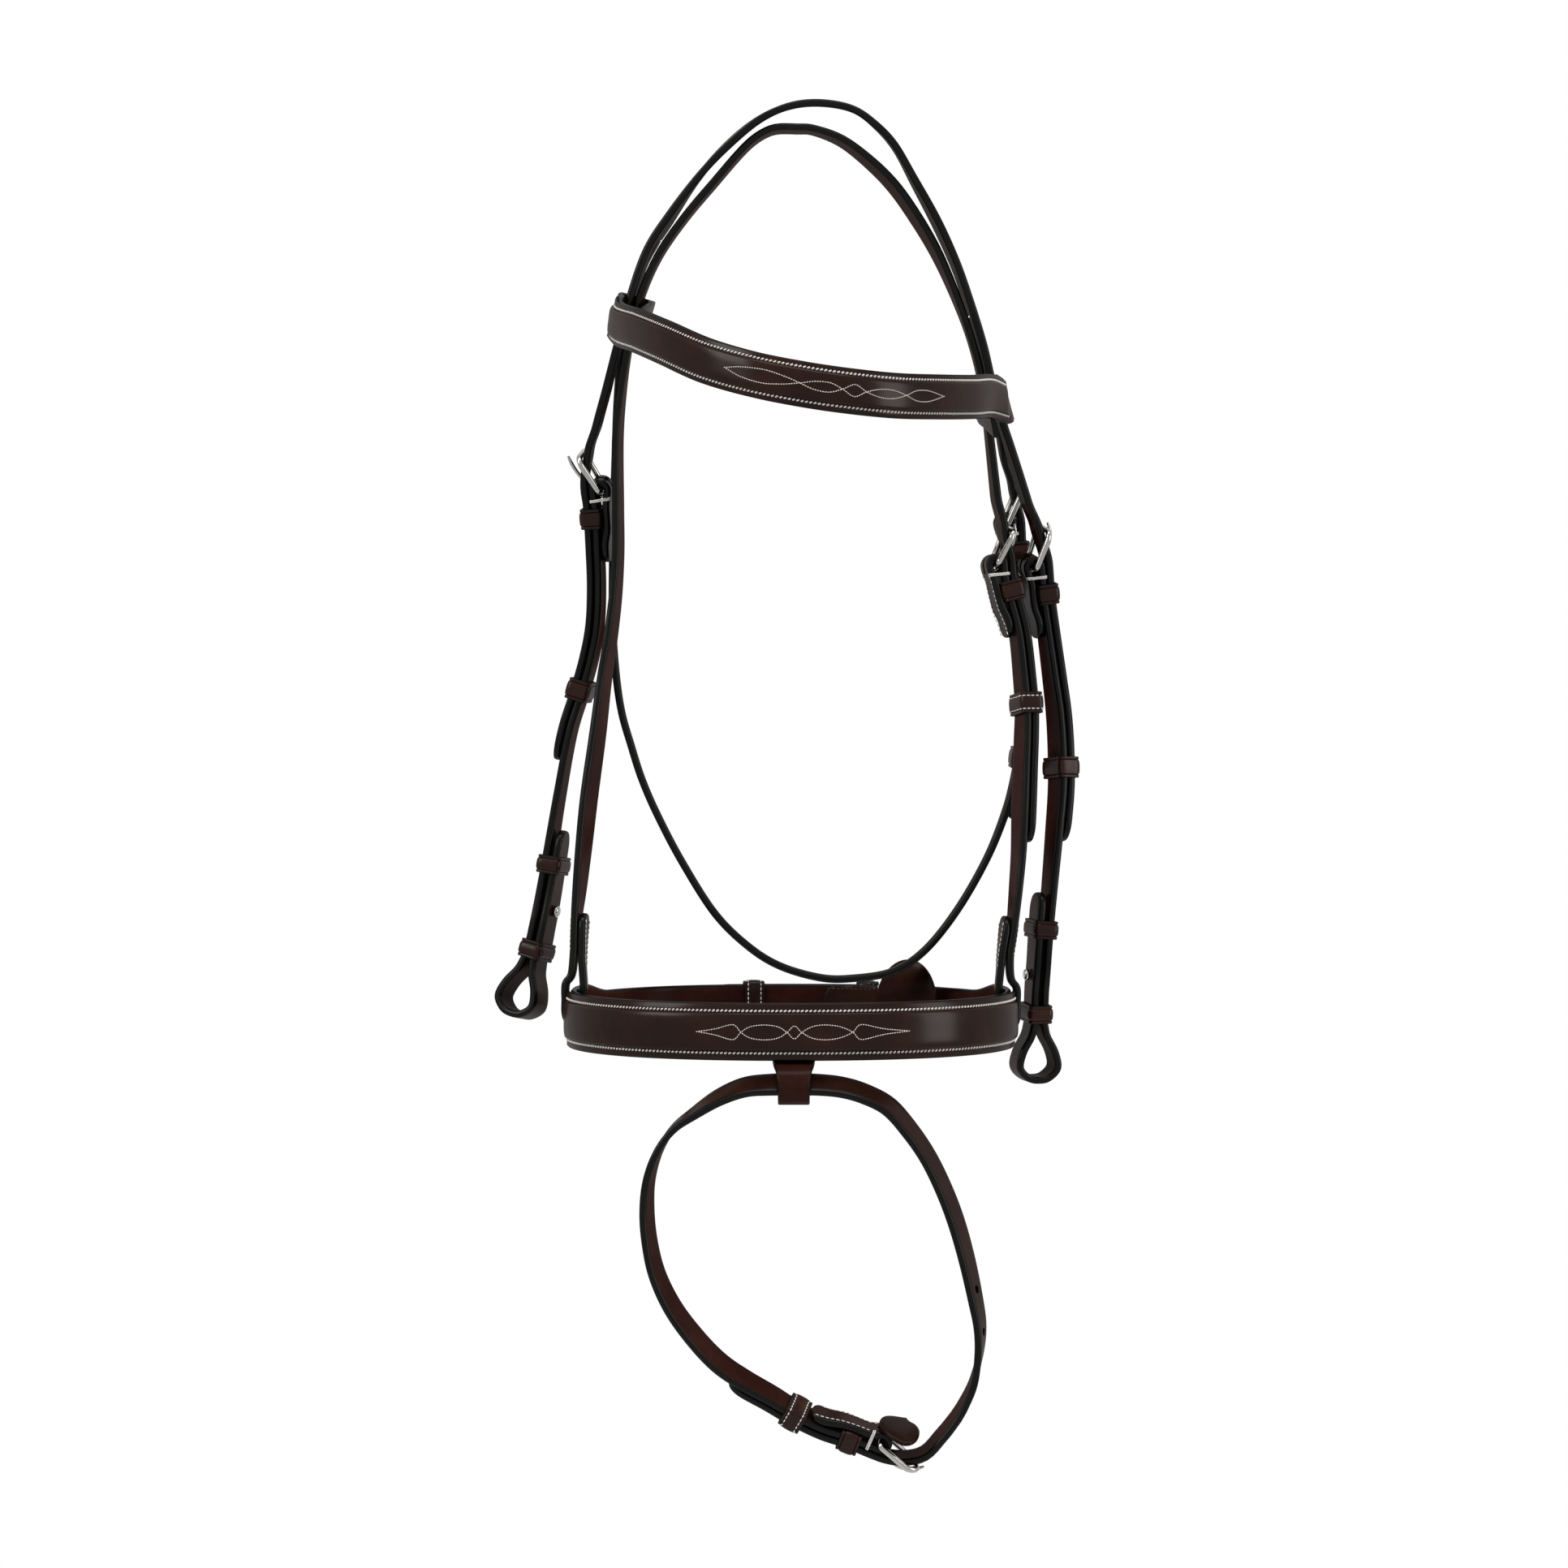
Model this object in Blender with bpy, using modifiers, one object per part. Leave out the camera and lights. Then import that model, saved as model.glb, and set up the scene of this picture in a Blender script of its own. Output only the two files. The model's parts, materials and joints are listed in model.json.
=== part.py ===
"""Flash noseband bridle, hanging from its crown, in metres with +Z up.

The origin is the middle of the underside of the noseband's headstall, where a bridle
hook carries it. X runs to the right of someone facing the bridle and Y away from them.

Every strap lies on a guide: a smooth line with a frame that says which way the strap
faces. A place on a guide is (along, across, out), so a billet, the strap under it, its
folded chape and the keepers round them are stacked by their thicknesses alone.
"""

import math

import bmesh
import bpy
import numpy as np
from mathutils import Matrix, Vector

MM = 0.001

# Frame of the whole bridle: the routes below are shares of these three sizes
HALF_WIDTH = 135 * MM
DEPTH = 100 * MM
DROP = 430 * MM

# Leather
CHEEK_WIDTH = 16 * MM
CHEEK_THICKNESS = 3.6 * MM
THROAT_WIDTH = 12 * MM
FLASH_WIDTH = 13 * MM
FLASH_THICKNESS = 3.4 * MM
REAR_WIDTH = 18 * MM
BAND_THICKNESS = 3.2 * MM
COVER_THICKNESS = 1.6 * MM
FILLER_THICKNESS = 1.9 * MM
EDGE_ROUND = 0.7 * MM

# Clearances
GAP = 0.3 * MM
BILLET_GAP = 0.5 * MM
SLIDE_GAP = 0.4 * MM
OVERRUN = 2 * MM

# Headpiece
BILLET_TAIL = 138 * MM
THROAT_TAIL = 148 * MM
CROWN_SLIT = 1 * MM
SLIT_FROM_BROWBAND = 42 * MM
REST_HALF_LENGTH = 4.86 * MM

# Shares of the slit's distance at which the throatlatch is still held beside the cheek half
LEAVING_SHARES = (0.02, 0.35, 0.7, 1, 1.25)

# Buckles: a wire frame on a heel bar, with a tongue that rests on the far bar
WIRE_RADIUS = 1.5 * MM
BAR_CLEARANCE = 0.45 * MM
FRAME_LENGTH = 17 * MM
FRAME_RISE = 9 * MM
FRAME_SIDE_GAP = 1.1 * MM
FRAME_CORNER = 4 * MM
TONGUE_RADIUS = 0.95 * MM
TONGUE_OVERHANG = 2.5 * MM
TONGUE_SLOT_WIDTH = 3 * MM
TONGUE_EYE_CLEARANCE = 0.25 * MM
CHAPE_LENGTH = 36 * MM

# Keepers
KEEPER_WALL = 1.3 * MM
KEEPER_WIDTH = 10 * MM
RUNNER_WIDTH = 10.5 * MM
KEEPER_FROM_BAR = 9 * MM
KEEPER_ROUND = 1.6 * MM

# The tongue: where it comes up through the billet, as a share of the frame's length
TONGUE_CROSSING_SHARE = 0.36

# The tongue from its tip back to its eye: shares of its reach and of its climb
TONGUE_SHARES = ((1, 0.985), (0.8, 0.99), (0.55, 0.88), (0.36, 0.66), (0.2, 0.43))
TONGUE_EYE_DEGREES = (60, 345)

# Holes in the billets
HOLE_RADIUS = 2 * MM
HOLE_PITCH = 20 * MM
TONGUE_HOLE_LENGTH = 9.6 * MM
TONGUE_HOLE_WIDTH = 3.4 * MM

# Rounded tips: the share of the width that one takes, and of the width at its very end
TIP_SHARE = 0.65
TIP_END_SHARE = 0.25

# Heights of the heel bars, of the bit loops and of the browband's loops, left then right
CHEEK_BUCKLE_SHARES = (-0.4047, -0.493)
THROAT_BUCKLE_SHARE = -0.4419
NOSE_BUCKLE_SHARE = -0.493
BIT_SHARES = (-1.012, -1.0902)
BROW_SHARES = (-0.207, -0.3023)
LEFT_BUCKLE, RIGHT_BUCKLE = (share * DROP for share in CHEEK_BUCKLE_SHARES)
THROAT_BUCKLE = THROAT_BUCKLE_SHARE * DROP
NOSE_BUCKLE = NOSE_BUCKLE_SHARE * DROP
LEFT_BIT, RIGHT_BIT = (share * DROP for share in BIT_SHARES)
BROW_LEFT, BROW_RIGHT = (share * DROP for share in BROW_SHARES)

# Runners, from the bar of their buckle
CHEEK_RUNNER = 102 * MM
THROAT_RUNNER = 118 * MM
NOSE_CHEEK_RUNNER = 70 * MM

# Bit ends of the cheekpieces: the keepers' places are shares of the return
BIT_KEEPER_SHARES = (0.735, 0.08)
BIT_STUD_SHARE = 0.39
BIT_LOOP_LENGTH = 28 * MM
BIT_LOOP_SWELL = 7.5 * MM
BIT_RETURN_LENGTH = 66 * MM
BIT_KEEPER_WIDTH = 9 * MM
STUD_BASE_RADIUS = 3.4 * MM
STUD_BASE_THICKNESS = 0.8 * MM
STUD_STEM_RADIUS = 1.4 * MM
STUD_HEAD_RADIUS = 2.9 * MM
STUD_HEAD_HEIGHT = 2.4 * MM
STUD_HEAD_GAP = 0.5 * MM
STUD_CROWN_SHARE = 0.6

# The bit loop from outside to inside: shares of its length, swell and inward step
BIT_LOOP_SHARES = (
    (0, 0, 0), (0.22, 0.2, 0), (0.5, 0.75, 0), (0.78, 0.95, 0), (0.96, 0.35, 0), (1, 0, 0.5),
    (0.96, -0.35, 1), (0.78, -0.95, 1), (0.5, -0.75, 1), (0.22, -0.2, 1), (0, 0, 1),
)

# Hangers that carry the noseband: shares of the loop's height, and of its half depth
HANGER_NECK = 6 * MM
HANGER_DOUBLING = 30 * MM
HANGER_LOOP_SLACK = 0.8 * MM
HANGER_SHARES = (
    (0.75, -1), (0.35, -1), (0.05, -1), (-0.13, -0.75), (-0.2, 0),
    (-0.13, 0.75), (0.05, 1), (0.35, 1), (0.75, 0.96), (1, 0.3),
)

# Browband
BROW_THICKNESS = 2.4 * MM
BROW_FILLER = 1.8 * MM
BROW_COVER = 1.4 * MM
BROW_HEIGHT = 21 * MM
BROW_LOOP_HEIGHT = 18 * MM
BROW_LOOP_SLACK = 1.5 * MM
BROW_REAR_SLACK = 2.2 * MM

BROW_HEADSTALL_GAP = 2.2 * MM
BROW_LOOP_RUN = 121 * MM
BROW_TWIST_STEP = 6.5 * MM
BROW_LOOP_BEND = 3.2 * MM
BROW_RETURN = 29 * MM
BROW_RETURN_DROP = 7 * MM
BROW_RETURN_LEAN = 3.6 * MM

# Noseband: an oval whose sides, front and rear keep to the straps that carry it
NOSE_WIDTH_SHARE = 0.789
NOSE_OFFSET_SHARE = 0.0133
NOSE_REAR_SHARE = 0.9
NOSE_LEVEL_SHARE = -1.0163
NOSE_HEIGHT = 27 * MM
NOSE_HALF_WIDTH = NOSE_WIDTH_SHARE * HALF_WIDTH
NOSE_SIDE_OFFSET = NOSE_OFFSET_SHARE * HALF_WIDTH
NOSE_FRONT = DEPTH
NOSE_REAR = NOSE_REAR_SHARE * DEPTH
NOSE_LEVEL = NOSE_LEVEL_SHARE * DROP
NOSE_REAR_LIFT = 5 * MM
NOSE_FLATNESS = 2.3
NOSE_START = math.radians(32)
NOSE_BAR = 54 * MM
NOSE_RUNNER = 72 * MM
NOSE_TAIL = 96 * MM
SLOT_LENGTH = 20.6 * MM
SLOT_HEIGHT = 9.6 * MM
SLOT_DROP = 3.4 * MM
COVER_END = 18 * MM
STITCH_MARGIN = 3 * MM

# A raised cover: places across its crest as shares, with the share of its rise
COVER_SHARES = ((-0.99, 0), (-0.8, 0.9), (-0.35, 1), (0.35, 1), (0.8, 0.9), (0.99, 0))

# Raised oval pads behind the two chin buckles
NOSE_PAD_LENGTH = 40 * MM
NOSE_PAD_HEIGHT = 46 * MM
FLASH_PAD_LENGTH = 31 * MM
FLASH_PAD_HEIGHT = 30 * MM
PAD_THICKNESS = 4 * MM
PAD_AHEAD_SHARE = 0.36

# How square a pad is in section: flat where it is sewn to the strap, domed on the jaw's side
PAD_FLAT = 0.3
PAD_DOME = 0.7

# Flash tab and strap
TAB_WIDTH = 15 * MM
TAB_THICKNESS = 2 * MM
TAB_BORE_RADIUS = 7.5 * MM
TAB_TOP_WIDTH = 20 * MM
TAB_PLACE = 3 * MM
TAB_DROP = 24.8 * MM
TAB_SEAT = 0.3 * MM
TAB_STITCHED = 12 * MM
TAB_TURN_DEGREES = (100, 350)
FLASH_HALF_WIDTH = 79 * MM
FLASH_DROP = 174 * MM
FLASH_FORWARD = 1 * MM
FLASH_BAR = 43 * MM
FLASH_RUNNER = 42 * MM
FLASH_TAIL = 76 * MM

# Degrees in a quarter turn, and the angle from which a turned edge is shaded sharp
QUARTER = 90
SHARP_ANGLE = math.radians(40)

# Steps along a strap: short where it bends, long where it runs straight
SHORT_STEP = 3 * MM
LONG_STEP = 36 * MM
BEND_STEP = math.radians(19)


def smooth_line(places, steps=16):
    """Points of a Catmull-Rom curve through the given rows of numbers."""
    rows = np.array(places, float)
    ends = np.vstack([2 * rows[0] - rows[1], rows, 2 * rows[-1] - rows[-2]])
    found = []
    for before, start, end, after in zip(ends, ends[1:], ends[2:], ends[3:]):
        for share in np.arange(steps) / steps:
            found.append(
                0.5 * (2 * start + (end - before) * share
                       + (2 * before - 5 * start + 4 * end - after) * share**2
                       + (3 * start - before - 3 * end + after) * share**3)
            )
    found.append(rows[-1])
    return np.array(found)


def unit(vector):
    return vector / np.linalg.norm(vector)


def strap_steps(guide, start, end):
    """Places along a guide, close together where it bends or twists."""
    low, high = min(start, end), max(start, end)
    found = [low]
    _, tangent, side, _ = guide.frame(low)
    trial = low
    while trial + SHORT_STEP < high:
        trial += SHORT_STEP
        _, ahead, aside, _ = guide.frame(trial)
        bend = math.acos(min(1, tangent.dot(ahead))) + math.acos(min(1, side.dot(aside)))
        if bend > BEND_STEP or trial - found[-1] > LONG_STEP:
            found.append(trial)
            tangent, side = ahead, aside
    if high - found[-1] < SHORT_STEP and len(found) > 1:
        found.pop()
    found.append(high)
    return found if start < end else found[::-1]


class Guide:
    """A smooth route with a frame: along it, across the strap, and out of its face."""

    def __init__(self, places, across):
        line = smooth_line(np.hstack([np.array(places, float), np.array(across, float)]))
        self.points = line[:, :3]
        self.across = line[:, 3:]
        steps = np.linalg.norm(np.diff(self.points, axis=0), axis=1)
        self.lengths = np.concatenate([[0], np.cumsum(steps)])
        self.length = self.lengths[-1]
        self.tangents = np.gradient(self.points, self.lengths, axis=0)
        self.ladder = strap_steps(self, 0, self.length)

    def mark(self, *places):
        """Makes straps on this guide have stations at the given places, so that they nest."""
        kept = [rung for rung in self.ladder
                if min(abs(rung - place) for place in places) > SHORT_STEP]
        self.ladder = sorted(kept + list(places))

    def rungs(self, start, end, margin=SHORT_STEP / 2):
        low, high = sorted((start, end))
        found = [rung for rung in self.ladder if low + margin < rung < high - margin]
        return found if start < end else found[::-1]

    def between(self, rows, along):
        return np.array([np.interp(along, self.lengths, rows[:, i]) for i in range(3)])

    def frame(self, along):
        tangent = unit(self.between(self.tangents, along))
        across = self.between(self.across, along)
        across = unit(across - tangent * across.dot(tangent))
        return self.between(self.points, along), tangent, across, np.cross(tangent, across)

    def place(self, along, across=0, out=0):
        point, _, side, face = self.frame(along)
        return point + side * across + face * out

    def nearest(self, axis, value, start=0, end=1):
        """The place along the guide where a coordinate first comes nearest to a value."""
        first, last = (int(share * (len(self.points) - 1)) for share in (start, end))
        index = first + np.abs(self.points[first:last + 1, axis] - value).argmin()
        return self.lengths[index]


def turned(across, tangent, degrees):
    """An across direction turned about the route; positive lifts its far edge outward."""
    across = unit(across - tangent * across.dot(tangent))
    angle = math.radians(degrees)
    return across * math.cos(angle) + np.cross(tangent, across) * math.sin(angle)


def guide_through(places, twists, across=(0, 1, 0)):
    """A guide through places, each with the twist of its strap in degrees."""
    tangents = np.gradient(np.array(places), axis=0)
    sides = [turned(np.array(across, float), unit(t), a) for t, a in zip(tangents, twists)]
    return Guide(places, sides)


def guide_from_shares(shares, leading=(), trailing=()):
    """A guide through rows of x, y, z shares and a twist in degrees."""
    places = [np.array(row[:3]) * (HALF_WIDTH, DEPTH, DROP) for row in shares]
    twists = [row[3] for row in shares]
    return guide_through(
        list(leading) + places + list(trailing),
        [twists[0]] * len(leading) + twists + [twists[-1]] * len(trailing))


bridle = None
cutters = None


def new_collection(name):
    made = bpy.data.collections.new(name)
    bpy.context.scene.collection.children.link(made)
    return made


def material(name, colour, roughness, metallic=0):
    found = bpy.data.materials.get(name)
    if found:
        return found
    made = bpy.data.materials.new(name)
    made.use_nodes = True
    shader = made.node_tree.nodes["Principled BSDF"]
    shader.inputs["Base Color"].default_value = (*colour, 1)
    shader.inputs["Roughness"].default_value = roughness
    shader.inputs["Metallic"].default_value = metallic
    made.diffuse_color = (*colour, 1)
    return made


def leather(name):
    return material(name + "_leather", (0.035, 0.022, 0.018), 0.38)


def steel(name):
    return material(name + "_steel", (0.62, 0.62, 0.6), 0.22, 1)


def add_object(name, mesh, look, origin=(0, 0, 0), group=None):
    """An object whose own origin is the given place; the mesh comes in world places."""
    origin = np.array(origin, float)
    for vertex in mesh.vertices:
        vertex.co = np.array(vertex.co) - origin
    made = bpy.data.objects.new(name, mesh)
    made.location = origin
    (group or bridle).objects.link(made)
    if look:
        mesh.materials.append(look)
    return made


def mesh_of(bm, name):
    mesh = bpy.data.meshes.new(name)
    bm.normal_update()
    bmesh.ops.recalc_face_normals(bm, faces=bm.faces)
    bm.to_mesh(mesh)
    bm.free()
    return mesh


def shaded_round(mesh):
    """The mesh shaded smooth, but for its sharper corners."""
    mesh.polygons.foreach_set("use_smooth", [True] * len(mesh.polygons))
    mesh.set_sharp_from_angle(angle=SHARP_ANGLE)
    return mesh


def lay_sheet(bm, rows, closed=False, skipped=()):
    """A loft: rows of places joined into a sheet, leaving out the skipped (row, column) faces."""
    laid = [[bm.verts.new(place) for place in row] for row in rows]
    pairs = list(zip(laid, laid[1:] + ([laid[0]] if closed else [])))
    for i, (row, after) in enumerate(pairs):
        for j in range(len(row) - 1):
            if (i, j) not in skipped:
                bm.faces.new((row[j], row[j + 1], after[j + 1], after[j]))
    return laid


def thicken(made, thickness, rounding=EDGE_ROUND):
    """Gives a sheet its thickness, half to each side, and rounds its edges."""
    solid = made.modifiers.new("Thickness", "SOLIDIFY")
    solid.thickness = thickness
    solid.offset = 0
    solid.use_even_offset = True
    if rounding:
        edge = made.modifiers.new("Edges", "BEVEL")
        edge.width = rounding
        edge.segments = 1
        edge.limit_method = "ANGLE"
        edge.angle_limit = math.radians(50)
    return made


def fixed_mesh(made):
    """The object with its modifiers applied, so that it can be cut."""
    graph = bpy.context.evaluated_depsgraph_get()
    mesh = bpy.data.meshes.new_from_object(made.evaluated_get(graph))
    made.modifiers.clear()
    made.data = mesh
    return made


def cut(made, tools):
    for tool in tools:
        modifier = made.modifiers.new("Cut", "BOOLEAN")
        modifier.operation = "DIFFERENCE"
        modifier.solver = "EXACT"
        modifier.object = tool
    return made


def add_cutter(name, mesh):
    made = add_object(name, mesh, None, group=cutters)
    made.hide_render = True
    made.display_type = "WIRE"
    return made


def wire(name, places, radius, closed=False, look=None, origin=(0, 0, 0)):
    """A round wire through the given places."""
    curve = bpy.data.curves.new(name, "CURVE")
    curve.dimensions = "3D"
    curve.bevel_depth = radius
    curve.bevel_resolution = 2
    curve.use_fill_caps = not closed
    line = curve.splines.new("POLY")
    line.points.add(len(places) - 1)
    for point, place in zip(line.points, places):
        point.co = (*(np.array(place) - origin), 1)
    line.use_cyclic_u = closed
    made = bpy.data.objects.new(name, curve)
    made.location = origin
    bridle.objects.link(made)
    curve.materials.append(look)
    return made


class Strap:
    """A strap being laid: a list of stations, each along, out and its two edges."""

    def __init__(self, guide, half_width):
        self.guide = guide
        self.half_width = half_width
        self.stations = []

    def add(self, along, out=0, width_share=1):
        self.stations.append((along, out, width_share))

    def run(self, start, end, out=0):
        """A stretch beside the guide, without its two ends."""
        for along in self.guide.rungs(start, end):
            self.add(along, out)

    def ease(self, start, end, out_start, out_end, count=4):
        """A stretch that moves out or in smoothly, with both of its ends."""
        for i in range(count + 1):
            share = i / count
            swing = (1 - math.cos(math.pi * share)) / 2
            self.add(start + (end - start) * share, out_start + (out_end - out_start) * swing)

    def tip(self, end, heading, out, length, count=4):
        """A pointed, rounded end; heading is the sign of the way it faces."""
        shares = [(i + 1) / count for i in range(count)]
        for share in shares:
            width = math.cos(share * math.pi / 2) ** 0.7
            along = end - heading * length * (1 - math.sin(share * math.pi / 2))
            self.add(along, out, max(width, TIP_END_SHARE))

    def wrap(self, along, heading, radius, out_from, count=6):
        """Half a turn inward round a bar, from the face at out_from."""
        for i in range(1, count):
            angle = math.pi * i / count
            self.add(along + heading * radius * math.sin(angle),
                     out_from - radius * (1 - math.cos(angle)))

    def rows(self):
        placed = []
        for along, out, share in self.stations:
            point, _, side, face = self.guide.frame(along)
            middle = point + face * out
            reach = side * self.half_width * share
            placed.append((middle - reach, middle + reach))
        return placed

    def make(self, name, thickness):
        bm = bmesh.new()
        lay_sheet(bm, self.rows())
        made = add_object(name, mesh_of(bm, name), leather(name))
        return thicken(made, thickness)


# Left bit end, up the left cheek, over the crown and down the right cheek
CHEEK_LINE_SHARES = (
    (-1.07, 0.33, -1.06, -25), (-1.028, 0.33, -1.019, -24), (-0.947, 0.33, -0.94, -22),
    (-0.924, 0.33, -0.909, -20), (-0.902, 0.34, -0.872, -18), (-0.88, 0.34, -0.83, -15),
    (-0.842, 0.34, -0.757, -11),
    (-0.8, 0.33, -0.687, -9), (-0.757, 0.32, -0.643, -8), (-0.718, 0.3, -0.6, -8),
    (-0.695, 0.28, -0.56, -7), (-0.689, 0.25, -0.514, -7), (-0.694, 0.22, -0.467, -7),
    (-0.702, 0.19, -0.425, -6), (-0.713, 0.17, -0.402, -5), (-0.72, 0.14, -0.376, -4),
    (-0.7, 0.09, -0.338, -3), (-0.659, 0.03, -0.292, -2), (-0.618, -0.03, -0.243, 0),
    (-0.578, -0.06, -0.197, 0), (-0.514, -0.07, -0.139, 0), (-0.431, -0.07, -0.0975, 0),
    (-0.319, -0.07, -0.05, 5), (-0.207, -0.07, -0.013, 8), (-0.096, -0.07, 0.015, 8),
    (0.015, -0.07, 0.03, 8), (0.127, -0.07, 0.033, 8), (0.239, -0.07, 0.026, 8),
    (0.322, -0.07, 0.008, 6), (0.392, -0.07, -0.016, 4), (0.461, -0.07, -0.054, 2),
    (0.545, -0.07, -0.102, 0), (0.614, -0.07, -0.15, 0), (0.666, -0.06, -0.196, 0),
    (0.713, -0.04, -0.243, 0), (0.744, -0.03, -0.284, 0), (0.778, 0, -0.325, -2),
    (0.812, 0.03, -0.358, -4), (0.853, 0.07, -0.398, -6), (0.89, 0.12, -0.435, -8),
    (0.916, 0.16, -0.466, -10), (0.926, 0.19, -0.496, -10), (0.934, 0.22, -0.529, -12),
    (0.952, 0.25, -0.572, -15), (0.975, 0.27, -0.625, -19), (0.991, 0.28, -0.665, -23),
    (0.999, 0.28, -0.708, -25), (0.999, 0.27, -0.751, -25), (0.986, 0.25, -0.801, -22),
    (0.969, 0.23, -0.86, -18), (0.955, 0.22, -0.909, -16), (0.946, 0.24, -0.956, -14),
    (0.94, 0.3, -0.999, -14), (0.936, 0.33, -1.12, -14),
)

# Left side of the noseband, up and over inside the headpiece, down to its right side
HEADSTALL_SHARES = (
    (-0.776, 0, -1.07, 0), (-0.776, 0, -0.977, 0), (-0.776, 0.01, -0.936, -2),
    (-0.771, 0.02, -0.903, -6), (-0.759, 0.03, -0.865, -14), (-0.742, 0.04, -0.811, -20),
    (-0.724, 0.05, -0.758, -22), (-0.694, 0.07, -0.688, -20), (-0.671, 0.09, -0.627, -16),
    (-0.65, 0.09, -0.583, -14), (-0.63, 0.1, -0.53, -12), (-0.62, 0.1, -0.478, -10),
    (-0.62, 0.09, -0.426, -9), (-0.62, 0.06, -0.348, -8), (-0.604, 0.02, -0.293, -4),
    (-0.577, -0.02, -0.242, 0), (-0.537, -0.04, -0.191, 0), (-0.47, -0.04, -0.142, 0),
    (-0.374, -0.04, -0.098, 0), (-0.263, -0.04, -0.0565, 0), (-0.181, -0.04, -0.0265, 0),
    (-0.13, -0.04, -0.0105, 0), (-0.082, -0.04, -0.0005, 0), (-0.036, -0.04, 0.0042, 0),
    (0.036, -0.04, 0.0042, 0), (0.096, -0.04, 0.0028, 0), (0.2, -0.04, -0.01, -4),
    (0.307, -0.04, -0.036, -8), (0.393, -0.04, -0.064, -10), (0.473, -0.04, -0.1, -10),
    (0.54, -0.04, -0.136, -8), (0.597, -0.04, -0.175, -4), (0.655, -0.03, -0.222, 0),
    (0.694, -0.01, -0.262, 0),
    (0.717, 0, -0.297, 0), (0.732, 0.02, -0.33, -2), (0.748, 0.04, -0.373, -4),
    (0.762, 0.06, -0.411, -6), (0.776, 0.08, -0.448, -8), (0.784, 0.1, -0.478, -9),
    (0.787, 0.1, -0.497, -10), (0.794, 0.1, -0.515, -10), (0.81, 0.1, -0.535, -11),
    (0.839, 0.1, -0.573, -13), (0.857, 0.1, -0.626, -16), (0.864, 0.09, -0.66, -18),
    (0.862, 0.08, -0.692, -20), (0.858, 0.07, -0.726, -20), (0.852, 0.05, -0.776, -20),
    (0.846, 0.04, -0.825, -16), (0.834, 0.02, -0.87, -12), (0.82, 0.01, -0.916, -6),
    (0.806, 0, -0.963, 0), (0.802, 0, -1.07, 0),
)

# Down the right side from the fork of the headpiece, under the throat and up the left
THROAT_SHARES = (
    (0.798, 0.31, -0.36, 0), (0.822, 0.36, -0.398, -2), (0.836, 0.4, -0.434, -4),
    (0.843, 0.42, -0.472, -4), (0.851, 0.44, -0.52, -4), (0.864, 0.45, -0.575, -4),
    (0.871, 0.46, -0.64, -4), (0.866, 0.47, -0.7, -4), (0.846, 0.48, -0.742, -4),
    (0.81, 0.48, -0.782, -2), (0.742, 0.48, -0.834, 0), (0.634, 0.49, -0.893, 0),
    (0.514, 0.5, -0.94, 0), (0.393, 0.5, -0.965, 0), (0.242, 0.5, -0.973, 0),
    (0.121, 0.5, -0.972, 0), (-0.03, 0.5, -0.958, 0), (-0.151, 0.5, -0.934, 0),
    (-0.272, 0.5, -0.896, 0), (-0.393, 0.49, -0.836, 0), (-0.483, 0.48, -0.782, 0),
    (-0.541, 0.47, -0.74, 0), (-0.582, 0.47, -0.7, 0), (-0.617, 0.46, -0.661, 0),
    (-0.638, 0.46, -0.616, 0), (-0.65, 0.45, -0.56, 0), (-0.65, 0.44, -0.494, 0),
    (-0.645, 0.42, -0.42, 0), (-0.636, 0.36, -0.35, 0), (-0.626, 0.26, -0.295, 0),
)

# From the right of the flash buckle, under the chin, up the left, over the nose and round:
# across and down from the tab, with a twist
FLASH_SHARES = (
    (0.984, -0.887, -12), (0.875, -0.949, -15), (0.76, -0.989, -15), (0.639, -0.996, -15),
    (0.488, -0.971, -15), (0.335, -0.942, -17), (0.179, -0.917, -21), (0.024, -0.882, -26),
    (-0.13, -0.84, -32), (-0.284, -0.801, -36), (-0.438, -0.754, -38), (-0.578, -0.689, -36),
    (-0.716, -0.605, -32), (-0.812, -0.514, -27), (-0.858, -0.425, -23), (-0.874, -0.339, -20),
    (-0.86, -0.255, -14), (-0.804, -0.178, -6), (-0.715, -0.119, 2), (-0.592, -0.077, 12),
    (-0.448, -0.035, 24), (-0.294, -0.007, 34), (-0.141, 0, 40), (0, 0, 42),
    (0.14, 0, 40), (0.287, -0.007, 38), (0.423, -0.025, 36), (0.565, -0.059, 34),
    (0.687, -0.121, 32), (0.796, -0.193, 30), (0.888, -0.277, 30), (0.965, -0.368, 30),
    (1.03, -0.472, 28), (1.083, -0.583, 24), (1.109, -0.657, 18), (1.102, -0.731, 8),
    (1.064, -0.811, -4), (0.984, -0.887, -12),
)

# The browband's middle stretch, left to right: it bows forward and sags a little
BROWBAND_SHARES = (
    (-0.595, -0.42, -0.228, 0), (-0.52, -0.72, -0.243, 0), (-0.42, -0.99, -0.262, 0),
    (-0.275, -1.22, -0.287, 0), (-0.112, -1.36, -0.305, 0), (0.047, -1.4, -0.316, 0),
    (0.204, -1.38, -0.323, 0), (0.368, -1.27, -0.326, 0), (0.52, -1.06, -0.323, 0),
    (0.64, -0.76, -0.317, 0), (0.715, -0.46, -0.31, 0),
)


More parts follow.
